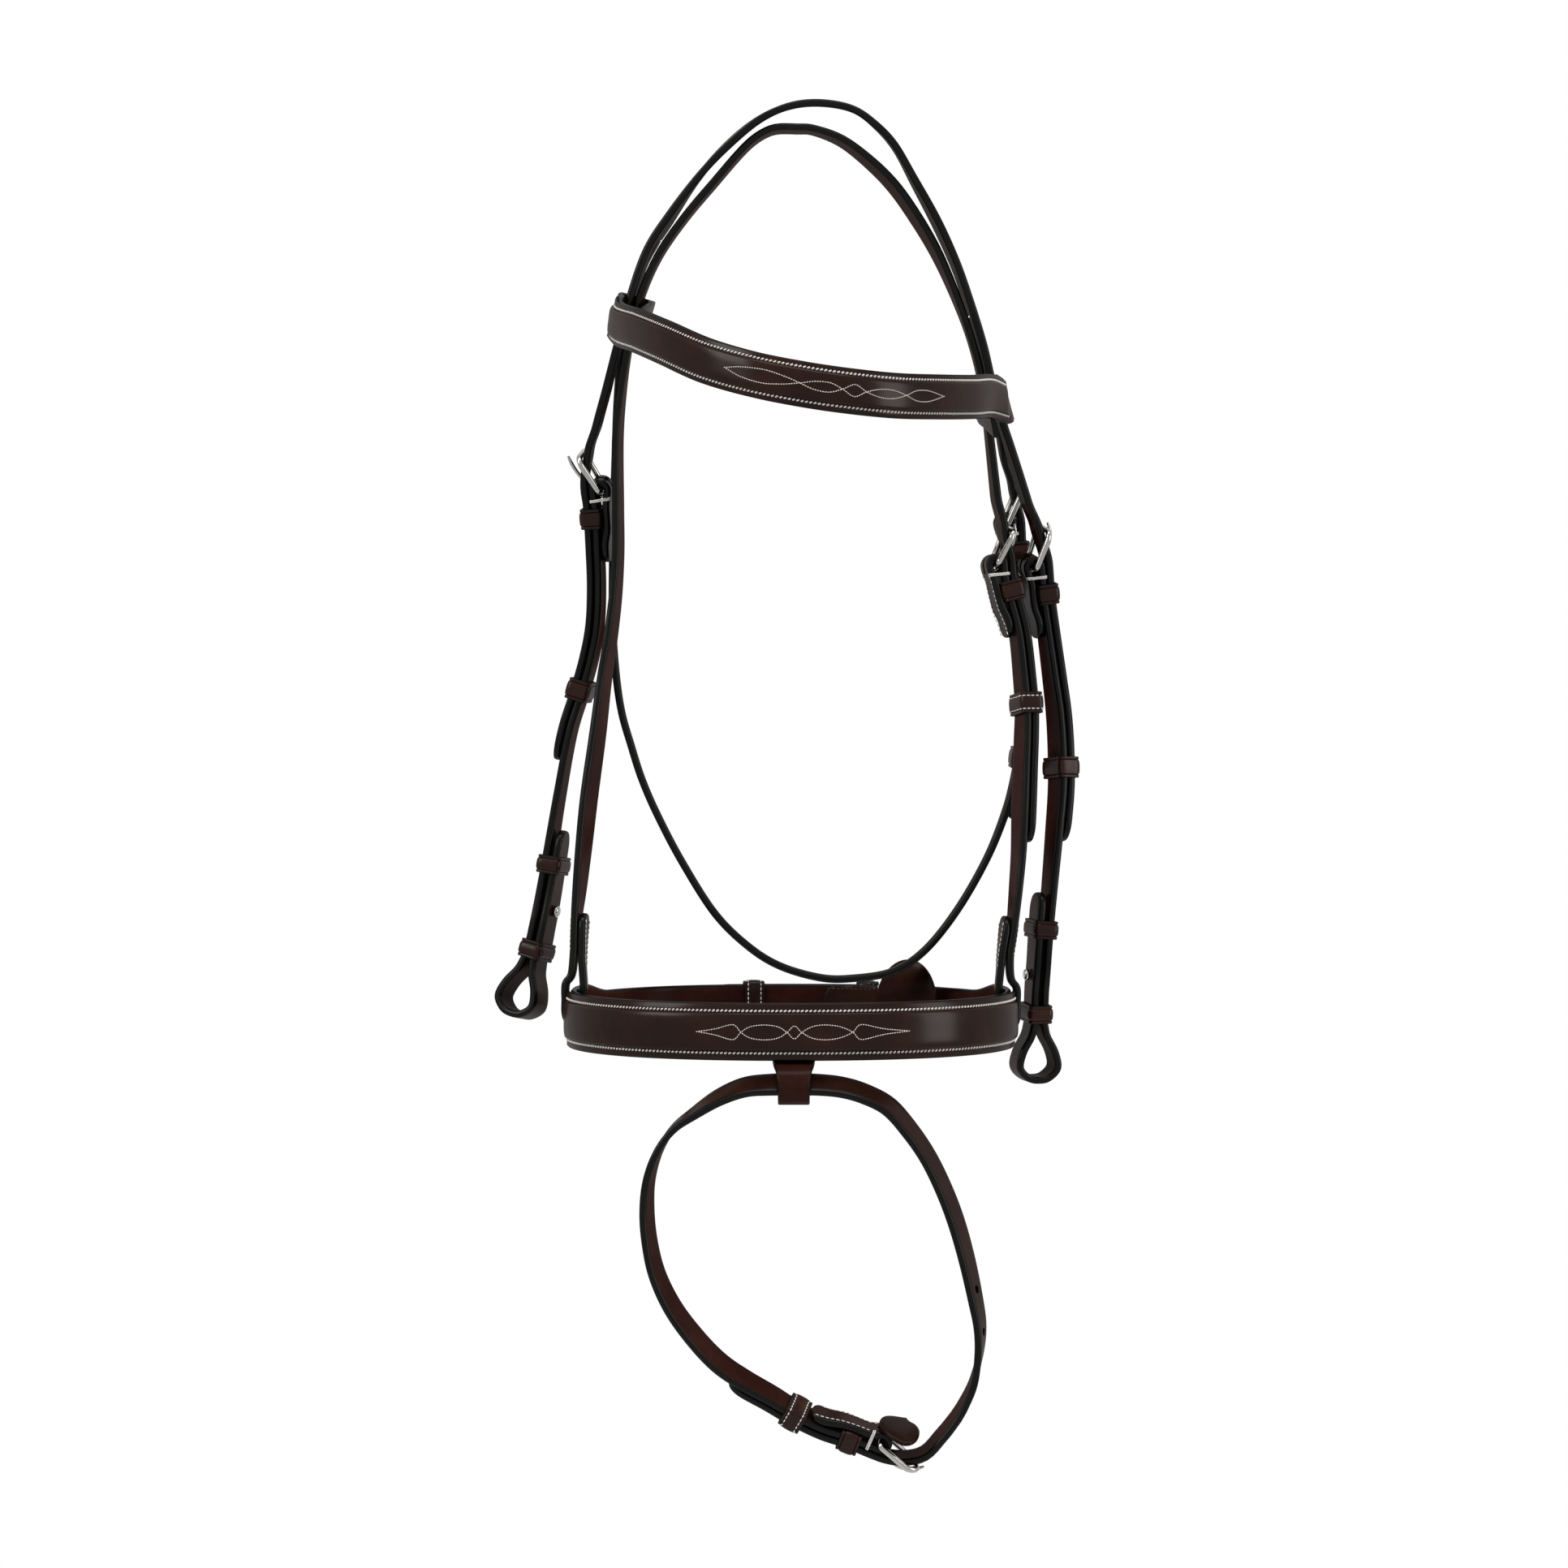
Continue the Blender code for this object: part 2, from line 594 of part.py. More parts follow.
class BuckleSeat:
    """Where a buckle sits on a guide, and every height in the stack that it holds."""

    def __init__(self, guide, bar, heading, width, thickness, runner, tail):
        self.guide = guide
        self.runner = runner
        self.tail = tail
        self.bar = bar
        self.heading = heading
        self.width = width
        self.thickness = thickness
        self.fold = WIRE_RADIUS + BAR_CLEARANCE + thickness / 2
        self.bar_out = -self.fold
        self.layer = thickness + BILLET_GAP
        self.frame_out = self.bar_out + FRAME_RISE
        self.billet_low = self.frame_out - WIRE_RADIUS - GAP - thickness / 2
        self.keeper_in = thickness + 2 * GAP + KEEPER_WALL
        self.eye_radius = WIRE_RADIUS + TONGUE_EYE_CLEARANCE + TONGUE_RADIUS
        self.tongue_out = self.frame_out + WIRE_RADIUS + TONGUE_RADIUS + GAP
        ends = [0, FRAME_LENGTH, -KEEPER_FROM_BAR, -KEEPER_FROM_BAR - KEEPER_WIDTH,
                -runner - RUNNER_WIDTH / 2, -runner + RUNNER_WIDTH / 2,
                -tail, -tail + width * TIP_SHARE]
        guide.mark(*[self.along(end) for end in ends])

    def along(self, ahead):
        return self.bar + self.heading * ahead

    def place(self, ahead, across=0, out=0):
        return self.guide.place(self.along(ahead), across, out)

    def chape(self, strap):
        """Lays the folded end: in under the strap from the tip of the chape to the bar."""
        end = self.along(-CHAPE_LENGTH)
        keeper = KEEPER_FROM_BAR
        strap.tip(end, -self.heading, -self.layer, strap.half_width, 3)
        strap.stations.reverse()
        strap.ease(self.along(-CHAPE_LENGTH + strap.half_width),
                   self.along(-keeper - KEEPER_WIDTH), -self.layer, -self.keeper_in, 3)
        strap.ease(self.along(-keeper), self.bar, -self.keeper_in, -2 * self.fold, 2)
        half = Strap(self.guide, strap.half_width)
        half.wrap(self.bar, self.heading, self.fold, 0)
        strap.stations += half.stations[::-1]

    def chape_cutter(self, name):
        """The slot in the fold that the tongue's eye turns in."""
        ahead = (-self.eye_radius - TONGUE_RADIUS - GAP, self.fold + self.thickness)
        out = (-2 * self.fold - self.thickness, self.thickness)
        return self.block_cutter(name, ahead, TONGUE_SLOT_WIDTH / 2, out)

    def block_cutter(self, name, ahead, half_width, out):
        rows = []
        for step in ahead:
            ring = ((-half_width, out[0]), (half_width, out[0]),
                    (half_width, out[1]), (-half_width, out[1]))
            rows.append([self.place(step, across, height) for across, height in ring])
        bm = bmesh.new()
        for place in sum(rows, []):
            bm.verts.new(place)
        bmesh.ops.convex_hull(bm, input=bm.verts)
        return add_cutter(name, mesh_of(bm, name))


def oval_cutter(name, guide, along, across, out, length, width, depth, fullness=1):
    """An oval punch through a strap, square to its face; fuller ones near a rectangle."""
    point, tangent, side, face = guide.frame(along)
    bm = bmesh.new()
    bmesh.ops.create_cone(bm, cap_ends=True, segments=8, radius1=1, radius2=1, depth=1)
    middle = point + side * across + face * out
    for vertex in bm.verts:
        share = np.array(vertex.co)
        share[:2] = np.sign(share[:2]) * np.abs(share[:2]) ** (1 / fullness)
        vertex.co = (middle + tangent * share[0] * length / 2 + side * share[1] * width / 2
                     + face * share[2] * depth)
    return add_cutter(name, mesh_of(bm, name))


def billet_holes(name, seat, count):
    """Punched holes along a billet's tail, and the oval one that the tongue is through."""
    depth = 4 * seat.thickness
    crossing = seat.along(FRAME_LENGTH * TONGUE_CROSSING_SHARE)
    found = [oval_cutter(name + "_tongue_hole", seat.guide, crossing, 0, seat.layer,
                         TONGUE_HOLE_LENGTH, TONGUE_HOLE_WIDTH, depth)]
    for i in range(count):
        along = seat.along(-HOLE_PITCH * (i + 2))
        found.append(oval_cutter(f"{name}_hole_{i + 1}", seat.guide, along, 0, seat.layer,
                                 2 * HOLE_RADIUS, 2 * HOLE_RADIUS, depth))
    return found


def arc(centre, radius, start, end, count):
    """Places on an arc in a plane, as pairs; angles in degrees."""
    angles = np.radians(np.linspace(start, end, count))
    return [(centre[0] + radius * math.cos(a), centre[1] + radius * math.sin(a)) for a in angles]


def buckle_frame(name, seat):
    """The wire frame: its heel bar lies in the fold and its far bar stands proud."""
    side = seat.width / 2 + FRAME_SIDE_GAP + WIRE_RADIUS
    slope = math.hypot(FRAME_LENGTH, FRAME_RISE)
    outline = []
    corners = ((slope - FRAME_CORNER, side - FRAME_CORNER, 0),
               (WIRE_RADIUS, side - WIRE_RADIUS, QUARTER),
               (WIRE_RADIUS, WIRE_RADIUS - side, 2 * QUARTER),
               (slope - FRAME_CORNER, FRAME_CORNER - side, 3 * QUARTER))
    for ahead, across, start in corners:
        radius = FRAME_CORNER if ahead > WIRE_RADIUS else WIRE_RADIUS
        outline += arc((ahead, across), radius, start, start + QUARTER, 3)
    places = [seat.place(ahead * FRAME_LENGTH / slope, across,
                         seat.bar_out + ahead * FRAME_RISE / slope) for ahead, across in outline]
    return wire(name, places, WIRE_RADIUS, closed=True, look=steel(name))


def tongue(name, seat):
    """A pin whose eye goes round the heel bar; its own origin is on the bar's axis."""
    axis = seat.place(0, 0, seat.bar_out)
    reach = FRAME_LENGTH + TONGUE_OVERHANG
    climb = seat.tongue_out - seat.bar_out
    shank = [(reach * share, climb * rise) for share, rise in TONGUE_SHARES]
    line = shank + arc((0, 0), seat.eye_radius, *TONGUE_EYE_DEGREES, 9)
    places = [seat.place(ahead, 0, seat.bar_out + out) for ahead, out in line]
    return wire(name, places, TONGUE_RADIUS, look=steel(name), origin=axis)


def keeper(name, guide, along, width, half_width, out_low, out_high):
    """A leather loop round a stack of straps, from one height to another."""
    wall = KEEPER_WALL / 2
    side = half_width + SLIDE_GAP + wall
    low = out_low - wall
    high = out_high + wall
    radius = KEEPER_ROUND
    outline = []
    corners = ((side - radius, high - radius), (radius - side, high - radius),
               (radius - side, low + radius), (side - radius, low + radius))
    for turn, corner in enumerate(corners):
        outline += arc(corner, radius, turn * QUARTER, (turn + 1) * QUARTER, 3)
    rows = []
    for across, out in outline:
        rows.append([guide.place(along + reach, across, out)
                     for reach in (-width / 2, width / 2)])
    bm = bmesh.new()
    lay_sheet(bm, rows, closed=True)
    middle = guide.place(along, 0, (low + high) / 2)
    made = add_object(name, mesh_of(bm, name), leather(name), middle)
    return thicken(made, KEEPER_WALL, 0)


def buckle_set(prefix, seat):
    """Frame, tongue, fixed keeper and sliding runner of one buckle."""
    buckle_frame(prefix + "_buckle", seat)
    tongue(prefix + "_tongue", seat)
    half = seat.thickness / 2
    top = seat.layer + half + SLIDE_GAP
    keeper(prefix + "_keeper", seat.guide, seat.along(-KEEPER_FROM_BAR - KEEPER_WIDTH / 2),
           KEEPER_WIDTH, seat.width / 2, -half - GAP, top)
    keeper(prefix + "_runner", seat.guide, seat.along(-seat.runner), RUNNER_WIDTH,
           seat.width / 2, -half - SLIDE_GAP, top)


def stud(name, seat_place, face, tangent, stem):
    """A hook stud: a disc on the strap, a stem through the return and a round head."""
    profile = [(0, 0), (STUD_BASE_RADIUS, 0), (STUD_BASE_RADIUS, -STUD_BASE_THICKNESS),
               (STUD_STEM_RADIUS, -STUD_BASE_THICKNESS), (STUD_STEM_RADIUS, -stem),
               (STUD_HEAD_RADIUS, -stem), (STUD_HEAD_RADIUS, -stem - STUD_HEAD_HEIGHT / 2),
               (STUD_HEAD_RADIUS * STUD_CROWN_SHARE, -stem - STUD_HEAD_HEIGHT),
               (0, -stem - STUD_HEAD_HEIGHT)]
    side = np.cross(tangent, face)
    bm = bmesh.new()
    verts = [bm.verts.new((radius, 0, height)) for radius, height in profile]
    edges = [bm.edges.new(pair) for pair in zip(verts, verts[1:])]
    bmesh.ops.spin(bm, geom=verts + edges, cent=(0, 0, 0), axis=(0, 0, 1),
                   angle=2 * math.pi, steps=10)
    bmesh.ops.remove_doubles(bm, verts=bm.verts, dist=MM / 1000)
    for vertex in bm.verts:
        local = np.array(vertex.co)
        vertex.co = seat_place + side * local[0] + tangent * local[1] + face * local[2]
    return add_object(name, shaded_round(mesh_of(bm, name)), steel(name), seat_place)


def cheekpiece(side, guide, seat, loop_end, heading):
    """A cheekpiece: folded round its buckle above and looped round the bit below."""
    half = CHEEK_THICKNESS / 2
    back = STUD_BASE_THICKNESS + CHEEK_THICKNESS + 2 * SLIDE_GAP
    strap = Strap(guide, CHEEK_WIDTH / 2)
    seat.chape(strap)
    neck = loop_end + heading * BIT_LOOP_LENGTH
    for share in BIT_KEEPER_SHARES:
        middle = neck + heading * BIT_RETURN_LENGTH * share
        guide.mark(middle - BIT_KEEPER_WIDTH / 2, middle + BIT_KEEPER_WIDTH / 2)
    stud_along = neck + heading * BIT_RETURN_LENGTH * BIT_STUD_SHARE
    guide.mark(stud_along - STUD_BASE_RADIUS, stud_along, stud_along + STUD_BASE_RADIUS)
    strap.add(seat.bar)
    strap.run(seat.bar, neck)
    for ahead, swell, inner in smooth_line(BIT_LOOP_SHARES, 2):
        strap.add(neck - heading * ahead * BIT_LOOP_LENGTH,
                  swell * BIT_LOOP_SWELL - inner * back)
    top = neck + heading * BIT_RETURN_LENGTH
    strap.run(neck, top - heading * CHEEK_WIDTH / 2, -back)
    strap.add(top - heading * CHEEK_WIDTH / 2, -back)
    strap.tip(top, heading, -back, CHEEK_WIDTH / 2, 3)
    name = side + "_cheekpiece"
    made = fixed_mesh(strap.make(name, CHEEK_THICKNESS))
    _, tangent, _, face = guide.frame(stud_along)
    tools = [seat.chape_cutter(name + "_slot")]
    hole = 2 * (STUD_STEM_RADIUS + GAP)
    tools.append(oval_cutter(name + "_stud_hole", guide, stud_along, 0, -back, hole, hole,
                             2 * STUD_BASE_THICKNESS + CHEEK_THICKNESS))
    cut(made, tools)
    stud(side + "_bit_stud", guide.place(stud_along, 0, -half - SLIDE_GAP), face, tangent,
         back + STUD_HEAD_GAP - SLIDE_GAP)
    for word, share in zip(("upper", "lower"), BIT_KEEPER_SHARES):
        keeper(f"{side}_bit_keeper_{word}", guide, neck + heading * BIT_RETURN_LENGTH * share,
               BIT_KEEPER_WIDTH, CHEEK_WIDTH / 2, -back - half - SLIDE_GAP, half + SLIDE_GAP)
    return made


def billet(strap, seat):
    """Lays a billet from its tail tip, over the chape and under the frame's far bar."""
    heading = seat.heading
    end = seat.along(-seat.tail)
    strap.tip(end, -heading, seat.layer, seat.width * TIP_SHARE, 4)
    strap.stations.reverse()
    start = end + heading * seat.width * TIP_SHARE
    strap.add(start, seat.layer)
    strap.run(start, seat.along(-OVERRUN), seat.layer)
    strap.ease(seat.along(0), seat.along(FRAME_LENGTH), seat.layer, seat.billet_low, 3)
    strap.ease(seat.along(FRAME_LENGTH + OVERRUN), seat.along(2 * FRAME_LENGTH),
               seat.billet_low, 0, 2)


def headpiece(line, left, right, throat, throat_seat, forks):
    """The crown with its two cheek billets, its throat billet and the long throat strap."""
    half = CHEEK_WIDTH / 2
    left_fork, right_fork = forks
    front = Strap(line, half)
    billet(front, left)
    front.run(left.along(2 * FRAME_LENGTH), left_fork)
    bm = bmesh.new()
    before = [[bm.verts.new(place) for place in row] for row in front.rows()]
    crown_rows = []
    for along in [left_fork] + line.rungs(left_fork, right_fork) + [right_fork]:
        crown_rows.append([bm.verts.new(line.place(along, across)) for across in
                           (-half, half, half + CROWN_SLIT, half + CROWN_SLIT + THROAT_WIDTH)])
    after_strap = Strap(line, half)
    billet(after_strap, right)
    after_strap.run(right.along(2 * FRAME_LENGTH), right_fork)
    after = [[bm.verts.new(place) for place in row] for row in after_strap.rows()[::-1]]
    cheek_chain = before + [row[:2] for row in crown_rows] + after
    join_rows(bm, cheek_chain)
    for row, ahead in zip(crown_rows, crown_rows[1:]):
        bm.faces.new((row[1], row[2], ahead[2], ahead[1]))
    long_strap = Strap(throat, THROAT_WIDTH / 2)
    throat_seat.chape(long_strap)
    long_strap.add(throat_seat.bar)
    long_strap.run(throat_seat.bar, throat.length)
    long_rows = [[bm.verts.new(place) for place in row] for row in long_strap.rows()]
    short = Strap(throat, THROAT_WIDTH / 2)
    billet(short, throat_seat)
    short.run(throat_seat.along(2 * FRAME_LENGTH), 0)
    short_rows = [[bm.verts.new(place) for place in row] for row in short.rows()]
    throat_chain = long_rows + [row[2:] for row in crown_rows] + short_rows[::-1]
    join_rows(bm, throat_chain)
    made = add_object("headpiece", mesh_of(bm, "headpiece"), leather("headpiece"))
    fixed_mesh(thicken(made, CHEEK_THICKNESS))
    tools = billet_holes("left_cheek", left, 4)
    tools += billet_holes("right_cheek", right, 4)
    tools += billet_holes("throat", throat_seat, 4)
    tools.append(throat_seat.chape_cutter("throat_slot"))
    return cut(made, tools)


def join_rows(bm, rows):
    for row, ahead in zip(rows, rows[1:]):
        bm.faces.new((row[0], row[1], ahead[1], ahead[0]))


def noseband_headstall(guide, seat):
    """The noseband's long side: from its left hanger, over the poll, to its right billet."""
    strap = Strap(guide, CHEEK_WIDTH / 2)
    hanger(strap, guide, 1)
    strap.run(strap.stations[-1][0], seat.along(2 * FRAME_LENGTH))
    other = Strap(guide, CHEEK_WIDTH / 2)
    billet(other, seat)
    strap.stations += other.stations[::-1]
    made = fixed_mesh(strap.make("noseband_headstall", CHEEK_THICKNESS))
    return cut(made, billet_holes("noseband", seat, 4))


def hanger(strap, guide, heading):
    """Lays a loop round the upper half of the noseband: up inside, stitched, down outside.

    It starts at the end of the doubling and finishes on the strap above it.
    """
    middle = guide.nearest(2, nose_level(0), *((0, 0.5) if heading > 0 else (0.5, 1)))
    wall = BAND_THICKNESS / 2 + GAP + CHEEK_THICKNESS / 2
    layer = CHEEK_THICKNESS + GAP
    neck = middle + heading * (NOSE_HEIGHT / 2 + HANGER_NECK)
    doubling = neck + heading * HANGER_DOUBLING
    strap.tip(doubling, heading, -layer, CHEEK_WIDTH / 2, 3)
    strap.stations.reverse()
    strap.add(doubling - heading * CHEEK_WIDTH / 2, -layer)
    strap.add(neck + heading * HANGER_NECK, -layer)
    for ahead, out in HANGER_SHARES:
        strap.add(middle + heading * ahead * (NOSE_HEIGHT / 2 + HANGER_NECK),
                  out * (wall + HANGER_LOOP_SLACK))
    strap.add(neck + heading * 2 * HANGER_NECK)


def noseband_cheekpiece(guide, seat):
    strap = Strap(guide, CHEEK_WIDTH / 2)
    hanger(strap, guide, -1)
    strap.run(strap.stations[-1][0], seat.bar)
    other = Strap(guide, CHEEK_WIDTH / 2)
    seat.chape(other)
    other.add(seat.bar)
    strap.stations += other.stations[::-1]
    made = fixed_mesh(strap.make("noseband_cheekpiece", CHEEK_THICKNESS))
    return cut(made, [seat.chape_cutter("noseband_cheekpiece_slot")])


def nose_level(y):
    """The height of the noseband's middle line, which lifts a little to the rear."""
    return NOSE_LEVEL + NOSE_REAR_LIFT * (y + NOSE_FRONT) / (NOSE_FRONT + NOSE_REAR)


def nose_ring():
    """The noseband's line: a flattened oval from the right of its buckle all the way round."""
    depth = (NOSE_FRONT + NOSE_REAR) / 2
    middle = (NOSE_REAR - NOSE_FRONT) / 2
    places = []
    for angle in NOSE_START + np.linspace(0, 2 * math.pi, 49):
        x, y = (math.copysign(abs(f(angle)) ** (2 / NOSE_FLATNESS), f(angle))
                for f in (math.cos, math.sin))
        y = middle + depth * y
        places.append((NOSE_SIDE_OFFSET + NOSE_HALF_WIDTH * x, y, nose_level(y)))
    return Guide(places, [(0, 0, 1)] * len(places))


def raised_cover(name, guide, start, end, half_width, out, rise, thickness):
    """A leather face sewn down at both edges and raised in the middle over its filler."""
    crest = half_width - STITCH_MARGIN
    profile = [(share * crest, out + swell * rise) for share, swell in COVER_SHARES]
    profile = [(-half_width, out)] + profile + [(half_width, out)]
    rows = [[guide.place(along, *place) for place in profile]
            for along in [start] + guide.rungs(start, end) + [end]]
    bm = bmesh.new()
    lay_sheet(bm, rows)
    made = add_object(name, mesh_of(bm, name), leather(name))
    return thicken(made, thickness, 0)


def filler(name, guide, start, end, half_width, out, thickness):
    rows = [(guide.place(along, -half_width, out), guide.place(along, half_width, out))
            for along in [start] + guide.rungs(start, end) + [end]]
    bm = bmesh.new()
    lay_sheet(bm, rows)
    made = add_object(name, mesh_of(bm, name), leather(name))
    return thicken(made, thickness, 0)


def chin_pad(name, seat, length, height, inner):
    """A rounded leather pad that keeps the buckle off the jaw."""
    out = inner - GAP - PAD_THICKNESS / 2
    ahead = length * PAD_AHEAD_SHARE
    bm = bmesh.new()
    bmesh.ops.create_uvsphere(bm, u_segments=12, v_segments=6, radius=1)
    for vertex in bm.verts:
        share = np.array(vertex.co)
        fullness = PAD_FLAT if share[2] > 0 else PAD_DOME
        level = math.copysign(abs(share[2]) ** fullness, share[2])
        vertex.co = seat.place(ahead + share[0] * length / 2, share[1] * height / 2,
                               out + level * PAD_THICKNESS / 2)
    made = shaded_round(mesh_of(bm, name))
    return add_object(name, made, leather(name), seat.place(ahead, 0, out))


def noseband(ring, seat):
    """The noseband that the headstall carries, with its cover, filler, buckle and pad."""
    left = ring.nearest(1, 0, 0.2, 0.6)
    right = ring.nearest(1, 0, 0.6, 1)
    start, end = left + COVER_END, right - COVER_END
    for along in (left, right):
        ring.mark(along - SLOT_LENGTH / 2, along, along + SLOT_LENGTH / 2)
    tab = ring.nearest(0, TAB_PLACE, 0.5, 0.8)
    ring.mark(tab - TAB_TOP_WIDTH / 2, tab, tab + TAB_TOP_WIDTH / 2)
    ring.mark(start, start + STITCH_MARGIN, end - STITCH_MARGIN, end)
    wide = NOSE_HEIGHT / REAR_WIDTH
    strap = Strap(ring, REAR_WIDTH / 2)
    seat.chape(strap)
    strap.add(seat.bar)
    taper = 2 * NOSE_HEIGHT
    for along in [r for r in ring.ladder if r > seat.bar + SHORT_STEP]:
        inside = min(along - (left - taper), right + taper - along)
        share = min(1, max(0, inside / (taper / 2)))
        strap.add(along, 0, 1 + (wide - 1) * share * share * (3 - 2 * share))
    strap.stations.pop()
    tail = Strap(ring, REAR_WIDTH / 2)
    billet(tail, seat)
    strap.stations += [s for s in tail.stations[::-1] if s[0] > SHORT_STEP]
    made = fixed_mesh(strap.make("noseband_strap", BAND_THICKNESS))
    tools = [seat.chape_cutter("noseband_slot")]
    for side, along in (("left", left), ("right", right)):
        tools.append(oval_cutter(f"hanger_slot_{side}", ring, along, -SLOT_DROP, 0,
                                 SLOT_LENGTH, SLOT_HEIGHT, 4 * BAND_THICKNESS, 2.5))
    tools += billet_holes("noseband_strap", seat, 2)
    cut(made, tools)
    face = BAND_THICKNESS / 2 + GAP
    filler("noseband_filler", ring, start + STITCH_MARGIN, end - STITCH_MARGIN,
           NOSE_HEIGHT / 2 - 2 * STITCH_MARGIN, face + FILLER_THICKNESS / 2, FILLER_THICKNESS)
    raised_cover("noseband_front", ring, start, end, NOSE_HEIGHT / 2, face + COVER_THICKNESS / 2,
                 FILLER_THICKNESS + GAP, COVER_THICKNESS)
    chin_pad("noseband_chin_pad", seat, NOSE_PAD_LENGTH, NOSE_PAD_HEIGHT,
             -2 * seat.fold - BAND_THICKNESS / 2)


def tab_axis():
    """The middle of the tab's loop, where the flash strap passes under the noseband."""
    return np.array((TAB_PLACE, -NOSE_FRONT - FLASH_FORWARD, NOSE_LEVEL - TAB_DROP))


def flash_route():
    """The flash strap's line, down from the middle of the tab's loop and back up to it."""
    axis = tab_axis()
    places = [axis + (x * FLASH_HALF_WIDTH, 0, z * FLASH_DROP) for x, z, _ in FLASH_SHARES]
    return guide_through(places, [twist for _, _, twist in FLASH_SHARES])


def flash_tab():
    """A loop hanging from the noseband's lower edge, sewn to its back by both ends."""
    axis = tab_axis()
    radius = TAB_BORE_RADIUS + TAB_THICKNESS / 2
    back = BAND_THICKNESS / 2 + SLIDE_GAP + TAB_THICKNESS / 2 - NOSE_FRONT + TAB_SEAT
    second = back + TAB_THICKNESS + GAP
    edge = NOSE_LEVEL - NOSE_HEIGHT / 2
    path = [(back, edge + TAB_STITCHED), (back, edge + TAB_STITCHED / 2),
            (back, edge - TAB_THICKNESS / 5)]
    path += arc(axis[1:], radius, *TAB_TURN_DEGREES, 12)
    path += [(second, edge), (second, edge + TAB_STITCHED / 2), (second, edge + TAB_STITCHED)]
    rows = []
    for i, (y, z) in enumerate(path):
        wide = max(0, 1 - abs(i - 2) / 4) if i > 2 else 1
        half = (TAB_WIDTH + (TAB_TOP_WIDTH - TAB_WIDTH) * wide) / 2
        rows.append([(axis[0] - half, y, z), (axis[0] + half, y, z)])
    bm = bmesh.new()
    lay_sheet(bm, rows)
    made = add_object("flash_tab", mesh_of(bm, "flash_tab"), leather("flash_tab"), axis)
    return thicken(made, TAB_THICKNESS, TAB_THICKNESS / 5)


def flash_strap(guide, seat):
    """The narrow strap through the tab, round below the bit and through its own buckle."""
    strap = Strap(guide, FLASH_WIDTH / 2)
    seat.chape(strap)
    strap.add(seat.bar)
    strap.run(seat.bar, guide.length - SHORT_STEP)
    tail = Strap(guide, FLASH_WIDTH / 2)
    billet(tail, seat)
    strap.stations += [s for s in tail.stations[::-1] if s[0] > SHORT_STEP]
    made = fixed_mesh(strap.make("flash_strap", FLASH_THICKNESS))
    tools = [seat.chape_cutter("flash_slot")]
    tools += billet_holes("flash_strap", seat, 1)
    for i in range(3):
        along = guide.length - HOLE_PITCH * (i + 1)
        tools.append(oval_cutter(f"flash_hole_{i + 1}", guide, along, 0, 0, 2 * HOLE_RADIUS,
                                 2 * HOLE_RADIUS, 4 * FLASH_THICKNESS))
    cut(made, tools)
    chin_pad("flash_chin_pad", seat, FLASH_PAD_LENGTH, FLASH_PAD_HEIGHT,
             -2 * seat.fold - FLASH_THICKNESS / 2)


def brow_loop(line, brow, heading):
    """Places of one end of the browband, from the tip of its inner return to its outer face."""
    inner = -(CHEEK_THICKNESS * 1.5 + BROW_HEADSTALL_GAP + BROW_LOOP_SLACK + BROW_THICKNESS / 2)
    outer = CHEEK_THICKNESS / 2 + BROW_LOOP_SLACK + BROW_THICKNESS / 2
    front = -CHEEK_WIDTH / 2
    rear = CHEEK_WIDTH / 2 + CROWN_SLIT + THROAT_WIDTH + BROW_REAR_SLACK + BROW_THICKNESS / 2
    bend = BROW_LOOP_BEND
    rows = [(BROW_RETURN_DROP, front - BROW_RETURN, inner + BROW_RETURN_LEAN),
            (BROW_RETURN_DROP / 2, front - BROW_RETURN / 2, inner + BROW_RETURN_LEAN * 0.42),
            (BROW_RETURN_DROP / 5, front, inner), (0, 0, inner), (0, rear - 2 * bend, inner)]
    rows += [(0, across, out) for across, out in arc((rear - bend, inner + bend), bend, -80, 0, 4)]
    rows += [(0, across, out) for across, out in arc((rear - bend, outer - bend), bend, 0, 80, 4)]
    rows += [(0, rear - 2 * bend, outer), (0, 0, outer), (BROW_RETURN_DROP / 7, front, outer),
             (BROW_RETURN_DROP / 3, front - BROW_RETURN / 3, outer - BROW_RETURN_LEAN / 2)]
    _, tangent, _, _ = line.frame(brow)
    places = [line.place(brow, side, out) - tangent * down * heading for down, side, out in rows]
    return places, [tangent * heading] * len(places)


